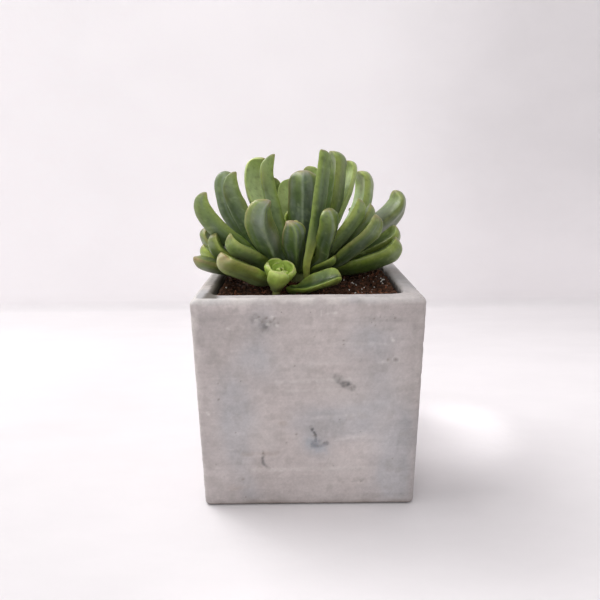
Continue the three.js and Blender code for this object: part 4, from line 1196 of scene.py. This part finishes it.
def leaf_surface(azimuth, width, thickness, path, rows, sides, seed, tip=1.5, power=2.15,
                 thin=1.25, point=0.5, base=0.42, channel=1.0, keel=0.34, twist=0.0, hood=0.0,
                 bow=0.0, open_end=False, lift=0.9, skew=0.0):
    """Points, and for each its place along (0 to 1) and across (-1 to 1) and how far it is on
    the inner face. azimuth and twist are in degrees.
    tip, thin: length of the rounded end in width and thickness; power: how square the tip is;
    point: size of the small point; base: width share at the base; channel: how hollow the inner
    face is; keel: how sharp the outer ridge is; hood: how far the end bends inwards; bow: how
    far the margins bend inwards; open_end: keep the section to the end; lift: how far the
    rounded end closes towards the inner face; skew: the same towards one margin."""
    curve, length = spline(path, 200)
    along = 1 - (1 - np.linspace(0, 1, rows)) ** 1.5
    centre = resample(curve, np.linspace(0, 1, 200), along)
    tangent = np.gradient(centre, along, axis=0)
    tangent /= np.linalg.norm(tangent, axis=1, keepdims=True)
    angle = math.radians(azimuth)
    outward = np.array([math.cos(angle), math.sin(angle), 0])
    inward = -outward * tangent[:, 2:3] + np.array([0, 0, 1.0]) * (tangent @ outward)[:, None]
    inward -= (inward * tangent).sum(1)[:, None] * tangent
    inward /= np.linalg.norm(inward, axis=1, keepdims=True)
    across = np.cross(tangent, inward)
    small_twist = np.random.default_rng(seed).uniform(-5, 5)
    turn = math.radians(small_twist) * along + math.radians(twist) * smooth(along / 0.5)
    cos, sin = np.cos(turn)[:, None], np.sin(turn)[:, None]
    inward, across = inward * cos + across * sin, across * cos - inward * sin

    half = width / 2
    start = np.sqrt(np.clip(along / 0.03, 0, 1))
    width_end = round_end(along, tip * half / length, power)
    depth_end = round_end(along, thin * thickness / length)
    reach = half * (base + (1 - base) * smooth(along / 0.62)) * width_end * start
    depth = thickness * (0.5 + 0.5 * smooth(along / 0.55)) * depth_end * start
    back = smooth((along - 0.55) / 0.45)
    centre += inward * (lift * 0.59 * thickness * (1 - depth_end - 0.32 * back))[:, None]
    centre += across * (skew * half * (1 - width_end - 0.40 * back))[:, None]
    # the small point at the tip
    last = np.clip((along - 0.965) / 0.035, 0, 1)
    spike = 0.62 * point * np.sqrt(np.clip(1 - last**2, 0, 1)) * (along > 0.9)
    reach, depth = np.maximum(reach, spike * 0.85), np.maximum(depth, spike * 1.5)
    for size in (reach, depth):
        size[[0, -1]] = 0.05
    centre += tangent * (last**2 * 0.85 * point)[:, None]
    centre += inward * (last**2 * 0.3 * point)[:, None]
    centre += inward * (hood * smooth((along - 0.8) / 0.2) ** 1.5)[:, None]

    # cross section: a hollowed inner face and a keeled outer one
    around = np.linspace(0, 2 * np.pi, sides, endpoint=False)
    cos, sin = np.cos(around), np.sin(around)
    off = np.abs(cos)
    body = smooth(along / 0.2) * (1 if open_end else smooth((1 - along) / 0.12))
    body, depth = body[:, None], depth[:, None]
    ridge = 0.26 + (keel - 0.26) * body
    inner = depth * (0.17 * sin - 0.14 * channel * (1 - off**2) * body)
    outer = -0.86 * depth * ((1 - ridge) * np.abs(sin) + ridge * (1 - off) ** 1.1)
    swell = np.sin(np.pi * np.clip((off - 0.08) / 0.8, 0, 1))
    outer += 0.05 * depth * swell * (keel / 0.34) * body
    height = np.where(sin >= 0, inner, outer) + 0.42 * depth + bow * (off**2 - 0.4) * body
    grid = centre[:, None] + (reach[:, None] * cos)[..., None] * across[:, None]
    grid = grid + height[..., None] * inward[:, None]

    points = grid.reshape(-1, 3)
    along, across = np.repeat(along, sides), np.tile(cos, rows)
    inner_face = np.tile(smooth(0.5 + 1.6 * sin), rows)
    # slow waves, lengthwise ribs and faint wrinkles
    shift = 0.30 * fractal(points, 0.10, 2, seed) + 0.16 * fractal(points, 0.30, 2, seed + 1)
    lane = np.full(len(points), seed * 0.37)
    shift += 0.07 * noise(np.c_[across * 4.0, along * 1.5, lane], 1.0, seed + 2)
    shift += 0.03 * noise(np.c_[across * 11.0, along * 3.0, lane], 1.0, seed + 3)
    fade = smooth(along / 0.06) * smooth((1 - along) / 0.03)
    points = points - grid_normals(grid) * (shift * fade)[:, None]
    return points, along, across, inner_face


def leaf_colours(points, along, across, inner, seed, patches,
                 tone, yellow, bloom, pink, groove_shade=0.4, lit=0.0):
    """Colour and bloom of a rosette leaf; see LOOKS and PATCHES."""
    off, outer = np.abs(across), 1 - inner
    lane = np.full(len(points), float(seed))
    slow = fractal(points, 0.10, 3, seed + 5)
    fine = fractal(points, 0.55, 3, seed + 8)
    ribs = fractal(np.c_[across * 5.5, along * 2.4, lane * 1.7], 1.0, 3, seed + 6)
    olive = fractal(np.c_[across * 1.6, along * 2.8, lane * 0.9], 1.0, 2, seed + 9)
    rim = smooth((off - 0.90) / 0.09)
    edge = smooth((off - 0.66) / 0.3)
    tip = smooth((along - 0.70) / 0.30)
    colour = layered(
        MID,
        (DEEP, tone + 0.45 * slow + 0.2 * ribs),
        (PALE, min(max(-tone, 0), 1) * (0.85 + 0.3 * slow)),
        (LIME, edge * (0.08 + 0.25 * yellow) * (1 + slow) + rim * 0.35 * yellow),
        (PALE, 0.20 * smooth((along - 0.55) / 0.45) * (0.7 + slow)),
    )
    # painted light: the palest leaves, lit through from behind, are brightened further
    if tone < -0.3:
        colour = colour * 1.35
    # painted shade: each leaf darkens towards its base, deep in the rosette; lit lifts this
    shade = 0.55 + 0.45 * smooth((along - 0.08) / 0.45)
    colour = colour * (shade + (1 - shade) * lit)[:, None]
    film = bloom * outer * smooth(0.5 + 1.5 * ribs + 0.5 * slow) * (1 - 0.75 * edge)
    film = film * smooth(along / 0.25)
    scuffed = smooth((ribs - 0.12) / 0.3) * (1 - edge) * smooth((along - 0.3) / 0.3)
    ridge = bell(across / 0.09) * outer * smooth((along - 0.12) / 0.2)
    flank = bell((off - 0.36 - 0.08 * slow) / 0.13) * outer * (1 - tip)
    pink_rim = rim * smooth((along - 0.35) / 0.4) * pink * 0.75 * (0.8 + 0.8 * slow)
    colour = layered(
        colour,
        (LIME, tip * (0.10 + 0.42 * yellow) * (0.8 + 0.9 * slow)),
        (rgb(122, 128, 48), 0.50 * smooth((olive - 0.08) / 0.35) * yellow * smooth(along / 0.4)),
        (BASE, (0.55 + 0.4 * lit) * (1 - smooth(along / (0.30 + 0.15 * lit)))),
        (BLOOM, film * 0.95),
        (rgb(150, 160, 138), 0.50 * bloom * outer * scuffed),
        # painted highlight along the outer keel
        (PALE * 0.85, 0.26 * ridge * (1 - 0.6 * tip)),
        (DEEP * 0.75, 0.50 * flank * (0.7 + 0.8 * ribs)),
        # painted shade down the channel of the inner face
        (DEEP, groove_shade * inner * bell(across / 0.4) * (1 - tip * (groove_shade < 0.5))),
        # small darker flecks and pale scuffs
        (DEEP * 0.8, 0.30 * smooth((fine - 0.25) / 0.25)),
        (PALE, 0.22 * smooth((-fine - 0.28) / 0.25)),
        (PINK, smooth((along - 0.93) / 0.07) * pink * 0.55 + pink_rim),
        (TAN, 0.4 * smooth((along - 0.978) / 0.012)),
    )
    for at_across, at_along, half_width, half_length, paint, strength, on_inner in patches:
        sideways = (across - at_across + 0.12 * slow) / half_width
        lengthwise = (along - at_along + 0.03 * fine) / half_length
        weight = np.exp(-(sideways**2) - lengthwise**2) * (inner if on_inner else outer)
        colour = mix(colour, rgb(*paint), strength * weight * (0.85 + 0.5 * fine))
    return colour, np.clip(film, 0, 1)


def small_leaf_colours(points, along, across, inner, seed, base):
    """Colour and bloom of a young or pup leaf."""
    outer = 1 - inner
    edge = smooth((np.abs(across) - 0.7) / 0.3)
    colour = layered(
        base,
        (rgb(208, 224, 124), edge * 0.6 + 0.5 * smooth((along - 0.72) / 0.25)),
        (rgb(126, 162, 40), 0.35 * inner + 0.5 * fractal(points, 0.3, 3, seed)),
        (rgb(150, 160, 112), 0.65 * outer * (1 - smooth((along - 0.25) / 0.45))),
        (rgb(196, 190, 140), 0.5 * smooth((along - 0.95) / 0.04)),
    )
    return colour, 0.35 * outer


def leaf_look(number):
    """A leaf without a placed look gets a random one."""
    if number in LOOKS:
        return LOOKS[number]
    rng = np.random.default_rng(900 + number)
    ranges = ((0.0, 0.5), (0.3, 0.7), (0.2, 0.7), (0.2, 0.6))
    return [rng.uniform(low, high) for low, high in ranges]


def build_leaf(kind, number, azimuth, width, thickness, path, seed):
    """kind: leaf, young_leaf, pup_leaf or heart_leaf."""
    rosette, young = kind == "leaf", kind == "young_leaf"
    name = f"leaf_{number:02d}" if rosette else f"{kind}_{number}"
    rows, sides = (68, 44) if rosette or young else (44, 30)
    if rosette:
        shape = SHAPES.get(number, {})
    else:
        shape = {} if young else dict(PUP_SHAPE)
    if name == "pup_leaf_1":
        shape["base"] = 0.52
    surface = leaf_surface(azimuth, width, thickness, path, rows, sides, seed, **shape)
    if rosette:
        patches = PATCHES.get(number, ())
        colours, bloom = leaf_colours(*surface, seed, patches, *leaf_look(number))
    else:
        base = rgb(112, 136, 58) if young else rgb(184, 210, 98)
        colours, bloom = small_leaf_colours(*surface, seed, base)
    obj = mesh_object(
        name + "_skin", surface[0], [grid_faces(rows, sides)], LEAF, "planting",
        colours=colours, values={"bloom": bloom},
    )
    close_ends(obj)
    if name in nodes:
        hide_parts(name)


def leaf_path(row):
    return np.array(row[3:], float).reshape(-1, 3)


def build_leaves():
    seed = 1000
    tables = {"leaf": LEAVES, "young_leaf": YOUNG_LEAVES, "pup_leaf": PUP_LEAVES}
    for kind, table in tables.items():
        for number, row in table.items():
            build_leaf(kind, number, *row[:3], leaf_path(row), seed)
            seed += 13


def build_hearts():
    """The two smallest leaves in the middle of the pup, between its inner pair."""
    first, second = leaf_path(PUP_LEAVES[6]), leaf_path(PUP_LEAVES[7])
    middle, apart = (first + second) / 2, (first - second) / 2
    axis = middle[-1] - middle[0]
    axis /= np.linalg.norm(axis)
    side = np.cross(axis, apart / np.linalg.norm(apart, axis=1, keepdims=True))
    spread = np.array([0.3, 0.9, 1.0, 0.62])[:, None] * 1.35
    rise = np.array([0, 0, 0, -0.5])[:, None]
    for k, sign in enumerate((1, -1)):
        path = middle + side * sign * spread + axis * rise
        azimuth = math.degrees(math.atan2(side[1, 1] * sign, side[1, 0] * sign))
        build_leaf("heart_leaf", k + 1, azimuth, 3.0, 1.3, path, 4000 + k)


# ---------------------------------------------------------------- build
build_pot()
build_soil()
soil_rng = np.random.default_rng(5)
build_crumbs(soil_rng)
build_bark(soil_rng)
build_perlite(soil_rng)
build_roots()
build_gravel()
build_main_stem()
build_pup_stem()
build_leaves()
build_hearts()

drain_mesh = nodes["drain_mesh"].data
drain_mesh.materials.clear()
drain_mesh.materials.append(PLASTIC)

# ---------------------------------------------------------------- stage, lamps and camera (metres)
WALL_Y, BEND_R, SINK = 0.283, 0.010, 0.0002  # SINK: how far the board lies below z = 0
WORLD_STRENGTH = 0.50
AREA_LAMPS = (  # name, place, target, size, watts
    ("key_back_left", (-0.55, 0.50, 1.00), (0, 0, 0.05), 0.4, 3.4),
    ("left_back", (-0.9, 0.35, 0.75), (0, 0, 0.05), 0.5, 3.2),
    ("high_left", (-0.45, 0.10, 0.95), (0, 0, 0.05), 0.6, 3.0),
    ("top_soft", (0.0, 0.0, 1.2), (0, 0, 0.05), 1.1, 2.0),
    ("front_fill", (-0.6, -1.3, 0.7), (0, 0, 0.05), 1.0, 4.2),
)
CAMERA_PLACE = (-0.00339, -0.25424, 0.1554)
CAMERA_PITCH, CAMERA_ROLL = math.radians(15.289), math.radians(-0.583)  # pitch is downwards


def backdrop_material():
    mat = NodeMaterial("pale_backdrop")
    uneven = mat.ramp(mat.noise(26, 5, 0.6, (0.6, 1.6, 1.0)), 0.25, 0.75, 0.982, 1.014)
    return mat.shade(
        Base_Color=mat.scale(mat.attribute("Col", "Color"), uneven),
        Roughness=0.95,
        Specular_IOR_Level=0.05,
        Emission_Strength=1.0,
        Emission_Color=mat.attribute("Glow", "Color"),
        Normal=mat.bump(mat.noise(160, 4, 0.6), strength=0.06, distance=0.002),
    )


def build_backdrop():
    """A pale painted board: flat floor, tight curve, upright back. Its paint is faintly uneven, and
    its colour holds painted light and shade.
    """
    floor_y = np.r_[-3.0, -1.5, -0.8, -0.5, np.linspace(-0.4, 0.26, 34)]
    wall_z = np.linspace(0.02, 0.42, 17)
    turn = np.linspace(0, math.pi / 2, 9)
    bend_y = WALL_Y - BEND_R + BEND_R * np.sin(turn)
    row_y = np.r_[floor_y, bend_y, np.full(len(wall_z), WALL_Y)]
    row_z = np.r_[np.zeros(len(floor_y)), BEND_R - BEND_R * np.cos(turn), wall_z] - SINK
    col_x = np.r_[-3, -1.5, -0.8, np.linspace(-0.6, 0.6, 49), 0.8, 1.5, 3]
    grid = np.broadcast_arrays(col_x[None, :], row_y[:, None], row_z[:, None])
    points = np.stack(grid, -1).reshape(-1, 3)
    x, y, z = points.T
    wall = smooth((z + SINK) / 0.012)
    right, low = smooth((x - 0.04) / 0.20), 1 - smooth((z - 0.02) / 0.16)
    # painted light and shade on the floor: darker at back right, back, left and front left; lighter
    # at the front
    floor_tone = 1.0 - 0.07 * smooth((y - 0.06) / 0.15) * smooth((x + 0.05) / 0.2)
    floor_tone -= 0.03 * smooth((y - 0.1) / 0.12) + 0.15 * smooth((-x + 0.04) / 0.20)
    floor_tone -= 0.03 * smooth((-y - 0.05) / 0.10) * smooth((-x + 0.02) / 0.10)
    floor_tone += 0.05 * smooth((-y - 0.06) / 0.05) * smooth((x + 0.08) / 0.06)
    floor_tone -= 0.04 * smooth((y - 0.18) / 0.08)
    # painted shadow: a darker spot by the pot's right front corner
    floor_tone -= 0.13 * np.exp(-(((x - 0.064) / 0.026) ** 2) - ((y + 0.034) / 0.02) ** 2)
    # painted shade on the wall: darker at upper right, left and lower left
    wall_tone = 1.13 - 0.15 * right * (1 - low) - 0.03 * smooth((-x - 0.08) / 0.15)
    wall_tone -= 0.03 * low * smooth((-x - 0.02) / 0.15)
    tone = floor_tone * (1 - wall) + wall_tone * wall
    uneven = 0.012 * fractal(points, 9.0, 3, 401)
    tone *= 1 + uneven + 0.010 * fractal(points * [0.5, 2.0, 1], 30.0, 3, 403)
    colours = rgb(238, 234, 236) * tone[:, None]
    faces = grid_faces(len(row_y), len(col_x), wrap_cols=False)
    obj = mesh_object("backdrop", points / MM, [faces], backdrop_material(), colours=colours)
    # the upright part glows very faintly
    glow = 0.075 * wall * (1 - 0.75 * right * (1 - low) - 0.9 * right * low)
    add_colours(obj.data, "Glow", np.c_[glow, glow, glow])
    obj.visible_shadow = False  # lamps behind the board still reach the pot


def add_lamp(name, kind, place, target, watts, **settings):
    lamp = bpy.data.lights.new(name, kind)
    lamp.energy = watts
    for key, value in settings.items():
        setattr(lamp, key, value)
    obj = bpy.data.objects.new(name, lamp)
    bpy.context.scene.collection.objects.link(obj)
    obj.location = place
    obj.rotation_mode = "QUATERNION"
    obj.rotation_quaternion = (Vector(target) - Vector(place)).to_track_quat("-Z", "Y")


def add_camera():
    data = bpy.data.cameras.new("camera")
    data.sensor_width = 36.0
    data.lens = 30.6
    data.clip_start, data.clip_end = 0.01, 20
    obj = bpy.data.objects.new("camera", data)
    bpy.context.scene.collection.objects.link(obj)
    forward = Vector((0, math.cos(CAMERA_PITCH), -math.sin(CAMERA_PITCH)))
    level = Vector((1, 0, 0))
    upright = level.cross(forward)
    cos, sin = math.cos(CAMERA_ROLL), math.sin(CAMERA_ROLL)
    axes = (level * cos + upright * sin, upright * cos - level * sin, -forward)
    matrix = Matrix(axes).transposed().to_4x4()
    matrix.translation = Vector(CAMERA_PLACE)
    obj.matrix_world = matrix
    bpy.context.scene.camera = obj


build_backdrop()

world = bpy.data.worlds.new("studio")
bpy.context.scene.world = world
world.use_nodes = True
background = world.node_tree.nodes["Background"]
background.inputs[0].default_value = (1.0, 0.985, 0.99, 1)
background.inputs[1].default_value = WORLD_STRENGTH

for name, place, target, size, watts in AREA_LAMPS:
    add_lamp(name, "AREA", place, target, watts, shape="SQUARE", size=size)
# a small soft spot that opens the far side of the pot's shadow
add_lamp("low_right", "SPOT", place=(0.20, 0.13, 0.22), target=(0.084, 0.014, 0.0), watts=1.25,
         spot_size=math.radians(18), spot_blend=1.0, shadow_soft_size=0.012)
add_camera()
bpy.context.scene.view_settings.view_transform = "Standard"
bpy.context.scene.view_settings.look = "None"
